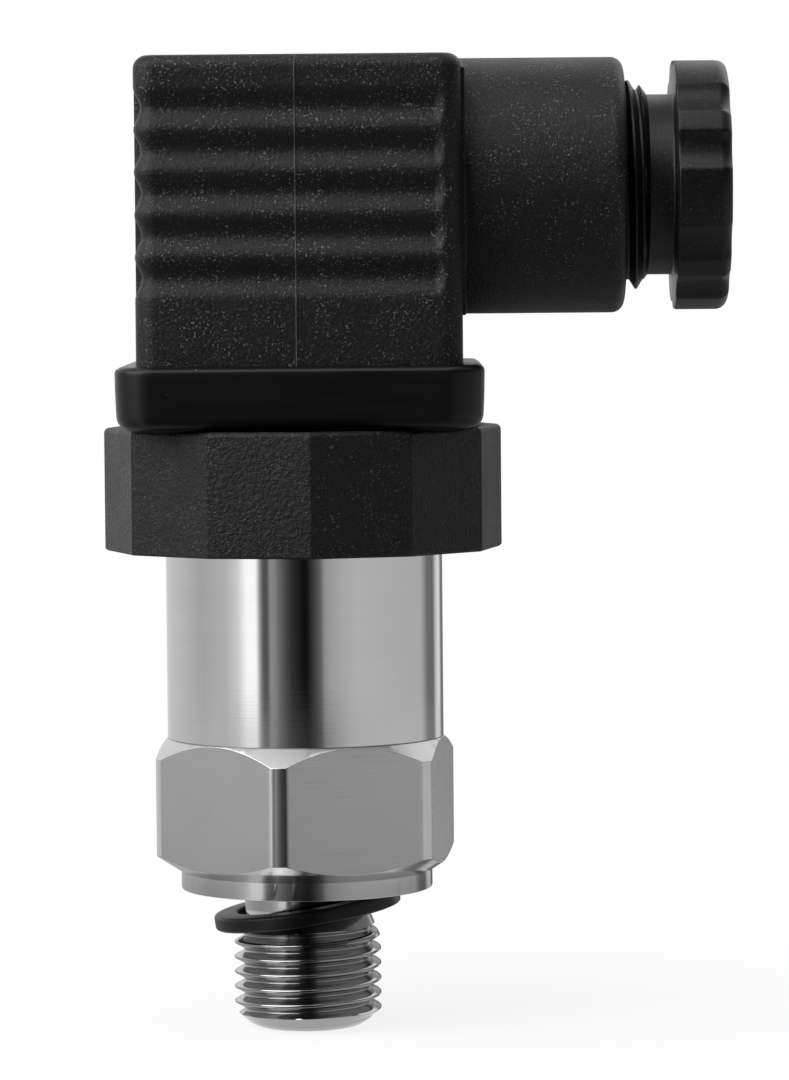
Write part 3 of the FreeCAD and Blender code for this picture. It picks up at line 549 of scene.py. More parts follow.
def threadTree():  # a grid wound into a thread between two plain rings
    labels = ("Columns", "Rows per turn", "Pitch", "Length", "Crest", "Depth", "Lead cone", "Lead radius",
              "Run-out start", "Run-out radius", "Round over")
    net, entry = geometryTree("helicalThread", labels)
    columns, perTurn, pitch, length, crest, depth, leadCone, leadRadius, runStart, runRadius, soft = (
        entry.other(label) for label in labels)
    rowCount = (length / pitch + 2).only("CEIL") * perTurn
    sheet = net.add("GeometryNodeMeshGrid", None,
                    {"Size X": 1.0, "Size Y": 1.0, "Vertices X": columns + 1, "Vertices Y": rowCount + 1})
    x, y = net.parts(net.add("GeometryNodeInputPosition"))[:2]
    around = x + 0.5
    along = (y + 0.5) * rowCount / perTurn - 1
    rise = ((along + around) * pitch).most(0.0).least(length)
    tooth = along.maths("PINGPONG", along, 0.5) * 2
    flank = (tooth * 1.3 - 0.15).most(0.0).least(1.0)
    rounded = flank * (1 - soft) + tooth.climb(0.1, 0.9) * soft
    reach = crest - depth * (1 - rounded)
    lead = leadRadius + rise * leadCone
    slope = (length - rise) / (length - runStart)
    reach = reach.least(lead).least(runRadius + slope * (crest - runRadius))
    turn = around * (2 * pi)
    place = net.joined(reach * turn.only("COSINE"), reach * turn.only("SINE"), rise)
    wound = net.add("GeometryNodeSetPosition", None,
                    {"Geometry": sheet, "Position": net.vector("SCALE", place, mm)})
    welded = net.add("GeometryNodeMergeByDistance", None, {"Geometry": wound, "Distance": 0.0005 * mm})
    return closeTree(net, entry, welded)


helicalThread = threadTree()


def cutThread(name, sizes, material):
    return grown(placed(name, bpy.data.meshes.new(name)), helicalThread, sizes, material)


# stem, collar and hexagon

mounts = {mount["name"]: mount for mount in frame["record"]["mounts"]}
stemHigh = corners("process_body")[1]
caseLow, caseHigh = corners("case_tube")

stem = {
    "port": mounts["pressure_port"]["dims"]["r_mm"],
    "threadTop": 7.9,
    "neckFoot": 10.2,
    "neck": 5.6,
    "leadFoot": 0.55,  # where the lead cone turns into the rounded end
    "leadReach": 5.45,
    "endFace": 4.1,
    "collarFoot": 12.5,
    "collar": 11.25,
    "collarTop": 14.1,
    "flat": 12.4,
    "corner": 13.95,
    "lowChamfer": 1.75,
    "topChamfer": 1.55,
    "turn": radians(270 - 9.1),  # where one corner points
    "pocket": 9.1,
    "pocketFloor": 20.4,
    "spigot": caseHigh.x - 1.5,
    "columns": 180,
    "portEdge": 0.35,
    "edge": 0.07,  # broken edges
}
stemThread = {
    "Columns": stem["columns"],
    "Rows per turn": 18,
    "Pitch": 1.337,  # nineteen to the inch
    "Length": stem["neckFoot"] - stem["leadFoot"],
    "Crest": mounts["process_thread"]["dims"]["r_mm"],
    "Depth": 0.86,
    "Lead cone": 1.15,
    "Lead radius": stem["leadReach"],
    "Run-out start": stem["threadTop"] - stem["leadFoot"],
    "Run-out radius": stem["neck"],
    "Round over": 0.45,
}


def hexAngles():  # even columns, moved only where a corner facet ends
    step = 360 / stem["columns"]
    facet = np.degrees(np.arccos(stem["flat"] / stem["corner"]))
    places = []
    for index in range(stem["columns"]):
        lean = (index * step + 30) % 60 - 30
        shift = np.sign(lean) * (30 - facet) - lean if abs(abs(lean) - step) < 1e-6 else 0
        places.append(stem["turn"] + radians(index * step + shift))
    return places


def makeProcessBody():
    angles = hexAngles()
    even = [stem["turn"] + angle for angle in roundAngles(stem["columns"])]
    foot = caseLow.z
    reach = np.array([min(polygonReach(a, 6, stem["flat"], 0.001, stem["turn"] + pi / 6), stem["corner"])
                      for a in angles])
    lowShare = (reach - stem["collar"]) / (stem["corner"] - stem["collar"])
    topShare = (reach - caseHigh.x) / (stem["corner"] - caseHigh.x)
    lowEdge = stem["collarTop"] + lowShare * stem["lowChamfer"]
    topEdge = foot - topShare * stem["topChamfer"]
    across = np.stack([np.cos(angles), np.sin(angles)], 1) * reach[:, None]
    neck = spun([(stem["neck"], stem["neckFoot"])], even)
    under = eased([(stem["neck"], stem["neckFoot"] + 0.6, 0), (stem["neck"], stem["collarFoot"], 0.3),
                   (stem["collar"], stem["collarFoot"], 0.18), (stem["collar"], stem["collarTop"], 0)], 4)
    flats = np.array([np.column_stack([across, lowEdge]), np.column_stack([across, topEdge])])
    inside = [(caseHigh.x, foot), (stem["spigot"], foot), (stem["spigot"], stemHigh.z),
              (stem["pocket"], stemHigh.z), (stem["pocket"], stem["pocketFloor"]),
              (stem["port"], stem["pocketFloor"]), (stem["port"], stem["portEdge"]),
              (stem["port"] + stem["portEdge"], 0)]
    end = [(stem["endFace"] - 0.5, 0)]
    for step in range(1, 8):  # the end curves up into the lead cone
        share = step / 8
        radius = stem["endFace"] + (stem["leadReach"] - stem["endFace"]) * share
        end.append((radius, stem["leadFoot"] * share ** 1.8))
    last = spun([(stem["leadReach"], stem["leadFoot"])], even)
    skin = meshFrom("processBody", np.concatenate(
        [neck, spun(under, angles), flats, spun(inside, angles), spun(end, angles), last]), closed=False)
    broken(skin, stem["edge"])
    wound = cutThread("stemThread", stemThread, finishes["thread"])
    moved(wound, stem["leadFoot"], Matrix.Rotation(stem["turn"], 4, "Z"))
    body = merged("processBody", skin, wound)
    dressStem(body)
    return mounted(body, "transmitter", "process_steel", "process_body")


def dressStem(body):  # turned all over, threaded below the neck, milled on the flats
    for finish in ("turned", "thread", "milled", "chamfer"):
        body.data.materials.append(finishes[finish])
    for face in body.data.polygons:
        centre = face.center / mm
        reach = centre.xy.length
        outer = reach > stem["flat"] - 0.1 and abs(face.normal.z) < 0.05
        turnedSide = reach > stem["corner"] * cos(radians(2))
        face.material_index = 1 if centre.z < stem["neckFoot"] and reach > stem["endFace"] else 0
        if outer and not turnedSide and stem["collarTop"] < centre.z < caseLow.z:
            face.material_index = 2
        elif caseLow.z - stem["topChamfer"] - 0.1 < centre.z < caseLow.z + 0.1 and face.normal.z > 0.3:
            face.material_index = 3


weighted(makeProcessBody())
print("stem made")


# case tube

tube = {"wall": 1.5, "columns": 256, "edge": 0.12}


def makeCaseTube():
    outer = caseHigh.x
    inner = outer - tube["wall"]
    section = eased([(outer, caseLow.z, tube["edge"]), (outer, caseHigh.z, tube["edge"]),
                     (inner, caseHigh.z, 0), (inner, caseLow.z, 0)], 3)
    piece = meshFrom("caseTube", spun(section, roundAngles(tube["columns"])))
    return finished(piece, "tube", "transmitter", "case_steel", "case_tube")


makeCaseTube()


# twelve-sided collar ring

ringLow, ringHigh = corners("collar_ring")
baseHigh = corners("connector_base")[1]

ring = {
    "sides": 12,
    "corner": 17.74,
    "turn": radians(270 + 3),
    "edge": 0.35,  # eased upright corners
    "topEdge": 0.5,
    "footEdge": 0.2,
    "fit": 0.05,
    "lip": 1.7,
    "flange": 3.0,
    "rise": 0.35,  # the outer rim stands this much above the lip
    "columns": (6, 6),  # on each flat and on each corner
}


def ringAngles(sides, turn, columns, flat, edge):
    flatSteps, cornerSteps = columns
    half = pi / sides
    bend = atan((flat - edge) * tan(half) / flat)
    places = []
    for side in range(sides):
        centre = turn + (2 * side + 1) * half
        places += list(np.linspace(centre - bend, centre + bend, flatSteps, endpoint=False))
        places += list(np.linspace(centre + bend, centre + 2 * half - bend, cornerSteps, endpoint=False))
    return places


def polygonRing(angles, sides, flat, edge, height, turn):
    reach = np.array([polygonReach(angle, sides, flat, edge, turn) for angle in angles])
    return np.stack([reach * np.cos(angles), reach * np.sin(angles), np.full(len(angles), height)], 1)


def makeCollarRing():
    sides = ring["sides"]
    flat = ring["corner"] * cos(pi / sides)
    angles = ringAngles(sides, ring["turn"], ring["columns"], flat, ring["edge"])
    rim = ringHigh.z + ring["rise"]
    outside = [(ring["footEdge"], ringLow.z), (0, ringLow.z + ring["footEdge"])]
    for step in range(7):
        angle = pi / 2 * step / 6
        outside.append((ring["topEdge"] * (1 - cos(angle)), rim - ring["topEdge"] * (1 - sin(angle))))
    rings = [polygonRing(angles, sides, flat - inset, max(ring["edge"] - inset, 0.05), height,
                         ring["turn"] + pi / sides) for inset, height in outside]
    flange = baseHigh.x
    lip = flange - ring["lip"]
    seat = caseHigh.z + ring["flange"]
    wide = flange + ring["fit"]
    narrow = caseHigh.x + ring["fit"]
    inside = [(lip + 0.15, ringHigh.z), (lip, ringHigh.z - 0.15), (lip, seat), (wide, seat),
              (wide, caseHigh.z), (narrow, caseHigh.z), (narrow, ringLow.z + 0.3), (narrow + 0.3, ringLow.z)]
    piece = meshFrom("collarRing", np.concatenate([np.array(rings), spun(inside, angles)]), smoothTo=40)
    return finished(piece, "ring", "transmitter", "ring_plastic", "collar_ring")


makeCollarRing()
print("case and collar ring made")


# plug gasket

gasketLow, gasketHigh = corners("plug_gasket")
hoodLow, hoodHigh = corners("plug_housing")
hoodHalf = -hoodLow.x

gasket = {
    "corner": 3.2,
    "lowEdge": 1.3,
    "topEdge": 0.5,
    "taper": 0.2,
    "fit": 0.1,
    "wellCorner": 1.7,
    "window": 10.6,
    "windowCorner": 0.4,
    "footLift": 0.35,  # the rubber swells past its own section at the foot and the rim
    "topLift": 0.25,
    "steps": 22,
    "columns": (16, 14),
}


def makePlugGasket():
    half = gasketHigh.x
    foot = gasketLow.z + gasket["footLift"]
    rim = gasketHigh.z + gasket["topLift"]
    height = rim - foot
    outline = []
    for step in range(gasket["steps"] + 1):  # bottom edge, tapered side, top edge
        rise = step / gasket["steps"]
        lift = height * rise
        low = max(gasket["lowEdge"] - lift, 0)
        top = max(gasket["topEdge"] - (height - lift), 0)
        inset = gasket["lowEdge"] - sqrt(gasket["lowEdge"] ** 2 - low ** 2)
        inset += gasket["topEdge"] - sqrt(gasket["topEdge"] ** 2 - top ** 2)
        outline.append((half - inset - gasket["taper"] * (1 - rise) ** 2, foot + lift))
    well = hoodHalf + gasket["fit"]
    angles = ringAngles(4, pi / 4, gasket["columns"], half, gasket["corner"])
    rings = [polygonRing(angles, 4, reach, max(gasket["corner"] - half + reach, 0.5), lift, 0)
             for reach, lift in outline]
    for reach, edge, top, floor in ((well, gasket["wellCorner"], rim, hoodLow.z),
                                    (gasket["window"], gasket["windowCorner"], hoodLow.z, gasketLow.z)):
        rings += [polygonRing(angles, 4, reach, edge, lift, 0) for lift in (top, floor)]
    piece = meshFrom("plugGasket", np.array(rings), smoothTo=50)
    return finished(piece, "gasket", "transmitter", "gasket_rubber", "plug_gasket")


makePlugGasket()


# plug hood with grip grooves

insertHigh = corners("terminal_insert")[1]
screwLow, screwHigh = corners("fixing_screw")
glandHeight = mounts["cable_entry"]["pos_m"][2] / mm

hood = {
    "corner": 1.8,
    "topEdge": 1.2,
    "wall": 2.0,
    "recess": 3.6,
    "recessFloor": 81.5,
    "column": 4.7,
    "screwHole": 1.7,
    "rows": 96,
    "flatColumns": 34,
    "cornerColumns": 12,
}
grooves = {
    "Top": hoodHigh.z - 2.76,  # where the first groove begins
    "Pitch": 3.68,
    "Count": 5.0,
    "Depth": 0.62,
    "Stop": 12.9,
    "Wrap": 11.0,  # how far from the middle they end on the far side
    "Seam": seamAt,
    "Seam height": 0.07,
}
boss = {
    "start": 13.3,
    "reach": 11.35,
    "edge": 1.1,
    "padFace": 14.5,
    "padEdge": 0.12,
    "thread": 9.32,
    "threadDepth": 12.3,
    "seat": 8.15,
    "seatDepth": 3.0,
    "cableHole": 5.6,
    "mouthEdge": 0.35,
}


def grooveTree():  # presses soft grooves into a plain wall and raises its parting line
    net, entry = geometryTree("gripGrooves", tuple(grooves))
    top, pitch, count, depth, stop, wrap, seam, seamHeight = (entry.other(label) for label in grooves)
    place = net.vector("SCALE", net.add("GeometryNodeInputPosition"), 1 / mm)
    x, y, z = net.parts(place)
    outward = net.parts(net.add("GeometryNodeInputNormal"))
    facing = outward[1].only("ABSOLUTE")
    lying = outward[2].only("ABSOLUTE")
    phase = (top - z) / pitch
    within = phase.maths("GREATER_THAN", phase, 0.0) * phase.maths("LESS_THAN", phase, count)
    press = (0.5 - (phase * (2 * pi)).only("COSINE") * 0.5) * within
    sides = 1 - (x - stop + 1.1).climb(0.0, 1.0)  # fades out just before the boss wall
    ends = y.only("ABSOLUTE").climb(wrap, wrap + 0.2).most((x + hoodHalf - hood["corner"]).climb(0.0, 0.01))
    flash = 1 - (x - seam).only("ABSOLUTE").climb(0.02, 0.09)
    faced = facing.maths("GREATER_THAN", facing, 0.9)
    move = (flash * faced * seamHeight) - press * sides * ends * depth
    level = net.joined(outward[0], outward[1], 0.0)
    upright = 1 - lying.maths("GREATER_THAN", lying, 0.3)
    shift = net.vector("SCALE", level, move * upright * mm)
    outer = x.only("ABSOLUTE").most(y.only("ABSOLUTE"))
    shown = outer.maths("GREATER_THAN", outer, hoodHalf - hood["wall"] / 2)
    values = {"Geometry": entry, "Selection": shown, "Offset": shift}
    pressed = net.add("GeometryNodeSetPosition", None, values)
    return closeTree(net, entry, pressed)


def hoodAngles():  # columns close together at the corners and beside the parting line
    flat = hoodHalf - hood["corner"]
    bend = atan(flat / hoodHalf)
    along = list(np.linspace(-flat, flat, hood["flatColumns"], endpoint=False))
    seamColumns = [seamAt + sign * shift for sign in (-1, 1) for shift in (0.015, 0.045, 0.08, 0.12)]
    stopColumns = list(np.arange(11.6, flat, 0.15))
    wrapColumns = [sign * (grooves["Wrap"] + shift)
                   for sign in (-1, 1) for shift in (0, 0.05, 0.1, 0.15, 0.2)]
    places = []
    for side, sign in ((0, 0), (1, -1), (2, 0), (3, 1)):  # right, back, left, front
        points = [p for p in along if not sign or abs(p - sign * seamAt) > 0.2]
        if sign:
            points += [sign * p for p in seamColumns + stopColumns]
        elif side:
            points += wrapColumns
        points = sorted(p for p in set(points) if -flat <= p < flat)
        start = side * pi / 2
        places += [start + atan(p / hoodHalf) for p in points]
        places += list(np.linspace(start + bend, (side + 1) * pi / 2 - bend, hood["cornerColumns"],
                                   endpoint=False))
    return places


def makeHood():
    angles = hoodAngles()
    top = hoodHigh.z
    heights = np.linspace(hoodLow.z, top - hood["topEdge"], hood["rows"])
    outside = [(0.15, hoodLow.z)] + [(0.0, height) for height in np.maximum(heights, hoodLow.z + 0.15)]
    for step in range(1, 9):
        angle = pi / 2 * step / 8
        outside.append((hood["topEdge"] * (1 - cos(angle)), top - hood["topEdge"] * (1 - sin(angle))))
    rings = [polygonRing(angles, 4, hoodHalf - inset, max(hood["corner"] - inset * 0.8, 0.4), height, 0)
             for inset, height in outside]
    cavity = hoodHalf - hood["wall"]
    roof = top - hood["wall"]
    middle = eased([(hood["recess"] + 1, top, 0), (hood["recess"], top, 0.3),
                    (hood["recess"], hood["recessFloor"], 0), (hood["screwHole"], hood["recessFloor"], 0),
                    (hood["screwHole"], insertHigh.z, 0), (hood["column"], insertHigh.z, 0),
                    (hood["column"], roof, 0)], 4)
    rings = np.concatenate([np.array(rings), spun(middle, angles)])
    inner = [polygonRing(angles, 4, cavity, 0.5, height, 0) for height in (roof, hoodLow.z)]
    piece = meshFrom("plugHood", np.concatenate([rings, np.array(inner)]), smoothTo=60)
    grown(piece, grooveTree(), grooves, finishes["hood"])
    return cutOrJoined(piece, ("UNION", makePad()), ("UNION", makeBoss()), ("DIFFERENCE", makeGlandBore()))


def makePad():
    side = hoodHalf - hood["corner"]
    low = Vector((boss["start"], -side, glandHeight - boss["reach"]))
    high = Vector((boss["padFace"], side, hoodHigh.z - hood["topEdge"]))
    return broken(block("pad", low, high), boss["padEdge"])


def capped(name, section, columns, height):  # a turned solid along X, closed at both ends
    section = [(0.0, section[0][1])] + section + [(0.0, section[-1][1])]
    return meshFrom(name, alongX(spun(section, roundAngles(columns)), height), closed=False)


def makeBoss():  # the rings along its wall keep the shading even
    end = hoodHigh.x
    section = [(boss["reach"], boss["start"] + shift) for shift in (0, 1.35, 1.7, 3, 6)]
    section += eased([(boss["reach"], end - 3, 0), (boss["reach"], end, boss["edge"]), (0.5, end, 0)], 8)
    return capped("boss", section, 160, glandHeight)


def makeGlandBore():
    end = hoodHigh.x
    mouth = end - boss["threadDepth"]
    floor = mouth - boss["seatDepth"]
    edge = boss["mouthEdge"]
    section = [(boss["cableHole"], hoodHalf - hood["wall"] - 1), (boss["cableHole"], floor),
               (boss["seat"], floor), (boss["seat"], mouth), (boss["thread"], mouth),
               (boss["thread"], end - edge), (boss["thread"] + edge, end), (boss["thread"] + edge, end + 1)]
    return capped("bore", section, 144, glandHeight)


plugHood = makeHood()
cleaned(plugHood.data, 38)
mounted(weighted(plugHood), "plug", "plug_plastic", "plug_housing")
print("gasket and hood made")


# gland nut, grommet and fixing screw

nutLow, nutHigh = corners("gland_nut")

nut = {
    "columns": 360,
    "nose": 8.17,  # where the thread starts
    "thread": 7.0,
    "neck": 8.0,
    "neckLength": 2.3,
    "head": 11.125,
    "bore": mounts["cable_entry"]["dims"]["r_mm"],
    "edge": 1.0,
    "lands": 5,
    "fluteAt": radians(22.2),
    "fluteRadius": 3.3,
    "fluteSink": 0.6,
    "turn": radians(6.8),  # a wide land's middle below the middle of the front
}
nutThread = {
    "Columns": nut["columns"],
    "Rows per turn": 16,
    "Pitch": 1.411,  # eighteen to the inch
    "Length": nut["thread"],
    "Crest": 9.27,
    "Depth": 0.85,
    "Lead cone": 1.0,
    "Lead radius": nut["nose"],
    "Run-out start": nut["thread"] - 0.9,
    "Run-out radius": nut["neck"],
    "Round over": 0.3,
}


def landReach(angle):  # wide and narrow lands with finger flutes between
    fifth = 2 * pi / nut["lands"]
    lean = abs((angle + fifth / 2) % fifth - fifth / 2)
    away = nut["head"] - nut["fluteSink"] + nut["fluteRadius"]
    off = lean - nut["fluteAt"]
    inside = nut["fluteRadius"] ** 2 - (away * sin(off)) ** 2
    flute = away * cos(off) - sqrt(inside) if inside > 0 else nut["head"]
    return min(flute, nut["head"])


def makeGlandNut():
    angles = np.array(roundAngles(nut["columns"]))
    front = -pi + nut["turn"]  # about the gland axis the front is at minus a half turn
    reach = np.array([landReach(angle - front) for angle in angles])
    backFace = nutLow.x + nut["thread"] + nut["neckLength"]
    shoulder = nutLow.x + nut["thread"]
    neck = spun(eased([(nut["neck"], shoulder, 0), (nut["neck"], backFace, 0.35),
                       (nut["head"] - 1, backFace, 0)], 4), angles)
    head = [(0.25, backFace), (0.07, backFace + 0.07), (0.0, backFace + 0.25)]
    for step in range(9):
        angle = pi / 2 * step / 8
        head.append((nut["edge"] * (1 - cos(angle)), nutHigh.x - nut["edge"] * (1 - sin(angle))))
    outline = np.array([np.stack([(reach - inset) * np.cos(angles), (reach - inset) * np.sin(angles),
                                  np.full(len(angles), height)], 1) for inset, height in head])
    inside = spun(eased([(nut["head"] - 2, nutHigh.x, 0), (nut["bore"], nutHigh.x, 0.5),
                         (nut["bore"], nutLow.x, 0), (nut["nose"], nutLow.x, 0)], 5), angles)
    skin = meshFrom("glandNut", np.concatenate([neck, outline, inside]), closed=False)
    wound = cutThread("nutThread", nutThread, finishes["nut"])
    moved(wound, nutLow.x)
    piece = merged("glandNut", skin, wound)
    moved(piece, glandHeight, Matrix(((0, 0, 1, 0), (1, 0, 0, 0), (0, 1, 0, 0), (0, 0, 0, 1))))
    cleaned(piece.data, 30)
    return finished(piece, "nut", "gland_nut", "nut_plastic", "gland_nut")


grommetBore = 4.2


def makeGrommet():
    low, high = corners("gland_grommet")
    outer = (high.y - low.y) / 2
    section = eased([(outer, low.x, 0.2), (outer, high.x, 0.5), (grommetBore, high.x, 0.6),
                     (grommetBore, low.x, 0.3)], 5)
    piece = meshFrom("cableGrommet", alongX(spun(section, roundAngles(120)), glandHeight))
    return finished(piece, "seal", "plug", "grommet_rubber", "gland_grommet")


screw = {"shank": 1.45, "head": 2.3, "slotWidth": 0.8, "slotDepth": 1.15}


def makeFixingScrew():
    reach = screwHigh.x
    top = screwHigh.z
    foot = top - screw["head"]
    section = eased([(0.0, screwLow.z, 0), (screw["shank"], screwLow.z, 0.3), (screw["shank"], foot, 0.1),
                     (reach, foot, 0.1), (reach, top, 0.35), (0.0, top, 0)], 5)
    piece = meshFrom("fixingScrew", spun(section, roundAngles(96)), closed=False)
    half = Vector((reach + 0.5, screw["slotWidth"] / 2, screw["slotDepth"]))
    middle = Vector((0, 0, top))
    cutOrJoined(piece, ("DIFFERENCE", block("slot", middle - half, middle + half)))
    cleaned(piece.data)
    return finished(piece, "zinc", "fixing_screw", "screw_steel", "fixing_screw")


makeGlandNut()
makeGrommet()
makeFixingScrew()


# loose thread seal

seal = {"reach": 8.4, "bore": 6.25, "thick": 1.35, "tilt": radians(8.5), "height": 10.55}


def makeThreadSeal():
    half = seal["thick"] / 2
    section = eased([(seal["bore"], -half, 0.2), (seal["reach"], -half, 0.3), (seal["reach"], half, 0.3),
                     (seal["bore"], half, 0.2)], 6)
    piece = meshFrom("threadSeal", spun(section, roundAngles(180)), smoothTo=50)
    moved(piece, seal["height"], Matrix.Rotation(-seal["tilt"], 4, "Y"))
    return finished(piece, "seal", "transmitter", "thread_rubber", "thread_seal")


makeThreadSeal()
print("gland, screw and seal made")


# pieces shown as they are in the frame

carried = {
    "cell_seal": "seal", "case_seal": "seal", "screw_ring": "seal",
    "pressure_cell": "ceramic", "cell_clamp_ring": "turned",
    "cell_pins": "tin", "contact_blades": "tin", "board_capacitors": "tin",
    "board_spacer": "natural", "amplifier_board": "laminate", "signal_chip": "chip", "lead_wires": "lead",
    "connector_base": "inner", "terminal_insert": "inner", "gland_washer": "inner",
    "base_nut": "brass", "terminal_clamps": "brass", "terminal_screws": "zinc",
}
for node, finish in carried.items():
    slots = frame["nodes"][node].data.materials
    slots.clear()
    slots.append(finishes[finish])


# floor, light and camera

stage = {
    "floor": 3.0,  # half its width in metres
    "white": 0.93,
    "drop": 0.05,
    "pure": 0.85,  # share of plain white where the shadow falls, between these distances
    "shadowFrom": 15,
    "shadowTo": 90,
    "mirrored": 0.62,  # the world's strength in gloss
    "plain": 0.03,  # and as light
}


def makeFloor():
    half = stage["floor"]
    low = cadLow.z - stage["drop"] * mm
    mesh = bpy.data.meshes.new("floor")
    mesh.from_pydata([(-half, -half, low), (half, -half, low), (half, half, low), (-half, half, low)], [],
                     [(0, 1, 2, 3)])
    floor = placed("floor", mesh)
    material, net, place = newFinish("paleFloor")
    path = net.add("ShaderNodeLightPath")
    seen = path.most(path.other("Is Glossy Ray")).most(path.other("Is Transmission Ray"))
    white = (stage["white"], stage["white"], stage["white"], 1)
    matte = net.add("ShaderNodeBsdfDiffuse", None, {"Color": white})
    glow = net.add("ShaderNodeEmission", None, {"Color": (1, 1, 1, 1), "Strength": 1.0})
    x, y = net.parts(place)[:2]
    away = (x * x + y * y) ** 0.5
    bright = away.climb(stage["shadowFrom"], stage["shadowTo"]) * (1 - stage["pure"]) + stage["pure"]
    mixed = net.add("ShaderNodeMixShader", None, {0: seen * bright, 1: matte, 2: glow})
    net.add("ShaderNodeOutputMaterial", None, {"Surface": mixed})
    mesh.materials.append(material)
    floor.visible_diffuse = False


def makeWorld():  # white where it is seen or mirrored, softer as light
    world = bpy.data.worlds.new("studio")
    bpy.context.scene.world = world
    net = emptyNet(world)
    path = net.add("ShaderNodeLightPath")
    seen = path.most(path.other("Is Transmission Ray"))
    strength = seen.most(path.other("Is Glossy Ray") * stage["mirrored"]).most(stage["plain"])
    glow = net.add("ShaderNodeBackground", None, {"Color": (1, 1, 1, 1), "Strength": strength})
    net.add("ShaderNodeOutputWorld", None, {"Surface": glow})


lamps = {  # degrees from the front towards +X and up, metres away, wide and high, watts, seen in gloss
    "keySoftbox": (-55, 30, 0.3, 0.36, 0.22, 1.0, True),
    "topSoftbox": (-20, 66, 0.3, 0.25, 0.2, 0.3, True),
    "backSoftbox": (140, 35, 0.3, 0.3, 0.2, 0.2, True),
    "leftSoftbox": (-115, 35, 0.6, 0.3, 0.6, 0.8, False),
    "rightSoftbox": (85, 50, 0.6, 0.3, 0.6, 0.6, False),
}
tent = {  # a ring of reflector cards that only gloss and metal mirror, in metres
    "radii": (0.007, 0.32, 0.32, 0.32, 0.32),
    "heights": (0, 0, 0.05, 0.3, 0.55),
    "lift": 0.0002,
    "brightest": 1.6,
    "steps": 120,
    "dimFrom": (0.012, 0.025),  # the floor card is dim between these two distances
    "dimTo": (0.1, 0.14),
    "dim": 0.1,
}
risers = {  # the heights between which a card takes over from the one below
    "wall": (-0.002, 0.002),
    "band": (0.04, 0.06),
    "roof": (0.25, 0.35),
}
cards = {  # bearing and brightness, from behind round the left, front and right
    "floor": (
        (-180, 0.75), (-100, 0.74), (-80, 0.75), (-48, 0.5), (-37, 0.56), (-29, 0.4), (-20, 0.22),
        (-11, 0.15), (-3, 0.12), (6, 0.08), (15, 0.08), (24, 0.24), (39, 0.6), (63, 0.72), (96, 0.75),
        (112, 0.75), (122, 0.4), (134, 0.3), (141, 0.9), (150, 0.6), (158, 0.2), (170, 0.15), (180, 0.6)),
    "wall": (
        (-180, 0.75), (-140, 0.78), (-121, 0.76), (-92, 0.61), (-67, 0.71), (-55, 1.0), (-47, 1.6),
        (-39, 1.6), (-36, 0.5), (-33, 0.13), (-29, 0.13), (-27, 0.42), (-23, 0.36), (-20, 0.23),
        (-15, 0.115), (-10, 0.046), (-4, 0.02), (1, 0.005), (4, 0.015), (9, 0.08), (14, 0.19),
        (17, 0.45), (22, 0.55), (29, 0.62), (44, 0.71), (112, 0.64), (122, 0.24), (134, 0.2),
        (141, 0.8), (149, 1.0), (157, 0.2), (180, 0.3)),
    "band": (
        (-180, 0.9), (-150, 1.2), (-120, 0.9), (-100, 0.4), (-75, 0.2), (-50, 0.2), (-30, 0.08), (-12, 0.02),
        (20, 0.01), (40, 0.04), (70, 0.1), (96, 0.3), (125, 0.3), (150, 0.4), (165, 0.45), (180, 0.8)),
    "roof": (
        (-180, 0.75), (-100, 0.62), (-40, 0.65), (-22, 0.5), (-10, 0.08), (8, 0.05), (22, 0.4), (40, 0.6),
        (180, 0.75)),
}
aim = Vector((0.005, 0, 0.045))


def standAt(thing, bearing, elevation, distance):
    turn = radians(bearing)
    rise = radians(elevation)
    away = Vector((sin(turn) * cos(rise), -cos(turn) * cos(rise), sin(rise)))
    thing.location = aim + away * distance
    thing.rotation_euler = (-away).to_track_quat("-Z", "Y").to_euler()


def makeLights():
    for name, (bearing, elevation, distance, width, height, watts, mirrored) in lamps.items():
        lamp = bpy.data.lights.new(name, "AREA")
        lamp.shape = "RECTANGLE"
        lamp.size = width
        lamp.size_y = height
        lamp.energy = watts
        thing = placed(name, lamp)
        thing.visible_glossy = mirrored
        standAt(thing, bearing, elevation, distance)


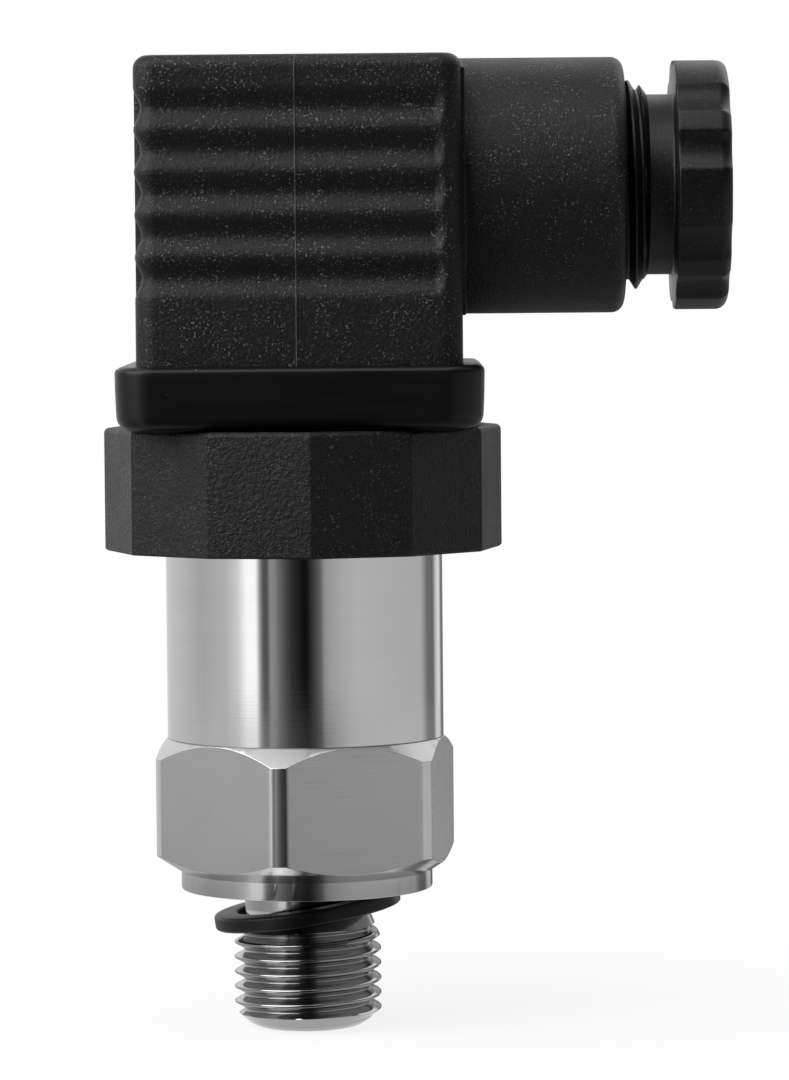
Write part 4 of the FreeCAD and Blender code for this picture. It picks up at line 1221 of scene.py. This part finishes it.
def makeTent():
    steps = tent["steps"]
    foot = cadLow.z + tent["lift"]
    turns = [-pi + 2 * pi * step / steps for step in range(steps + 1)]
    levels = list(zip(tent["radii"], tent["heights"]))
    points = [(sin(turn) * reach, -cos(turn) * reach, foot + lift)
              for reach, lift in levels for turn in turns]
    faces = []
    for row in range(len(levels) - 1):
        for step in range(steps):
            start = row * (steps + 1) + step
            faces.append((start, start + 1, start + steps + 2, start + steps + 1))
    mesh = bpy.data.meshes.new("reflectorTent")
    mesh.from_pydata(points, [], faces)
    thing = placed("reflectorTent", mesh)
    material = bpy.data.materials.new("reflectorCards")
    net = emptyNet(material)
    x, y, z = net.parts(net.add("ShaderNodeTexCoord").other("Object"))
    bearing = x.maths("ARCTAN2", x, -1 * y) / (2 * pi) + 0.5
    ramps = {}
    for name, stops in cards.items():
        stops = [(angle / 360 + 0.5, level / tent["brightest"]) for angle, level in stops]
        ramps[name] = net.add("ShaderNodeValToRGB", {"stops": stops}, {"Fac": bearing})
    away = (x * x + y * y) ** 0.5
    near = 1 - away.climb(*tent["dimFrom"])
    far = away.climb(*tent["dimTo"])
    shaded = near.most(far) * (1 - tent["dim"]) + tent["dim"]
    level = mixed(net, shaded, (0, 0, 0, 1), ramps["floor"])
    for name, heights in risers.items():
        level = mixed(net, z.climb(*heights), level, ramps[name])
    glow = net.add("ShaderNodeEmission", None, {"Color": level, "Strength": tent["brightest"]})
    net.add("ShaderNodeOutputMaterial", None, {"Surface": glow})
    mesh.materials.append(material)
    for rays in ("camera", "diffuse", "transmission", "shadow", "volume_scatter"):
        setattr(thing, "visible_" + rays, False)


view = {
    "lens": 166.7,
    "sensor": 36,
    "side": 8.1,
    "away": 446.5,
    "height": 68.5,
    "pitch": -3.2,  # degrees, downwards
    "roll": -0.5,
    "near": 0.01,  # in metres, as Blender clips
    "far": 20,
}


def makeCamera():
    data = bpy.data.cameras.new("camera")
    data.sensor_width = view["sensor"]
    data.lens = view["lens"]
    data.clip_start = view["near"]
    data.clip_end = view["far"]
    camera = placed("camera", data)
    camera.location = Vector((view["side"], -view["away"], view["height"])) * mm
    pitched = Matrix.Rotation(radians(90 + view["pitch"]), 4, "X")
    rolled = Matrix.Rotation(radians(view["roll"]), 4, "Z")
    camera.rotation_euler = (pitched @ rolled).to_euler()
    bpy.context.scene.camera = camera


makeFloor()
makeWorld()
makeLights()
makeTent()
makeCamera()
bpy.context.scene.view_settings.view_transform = "Standard"
print("stage set")
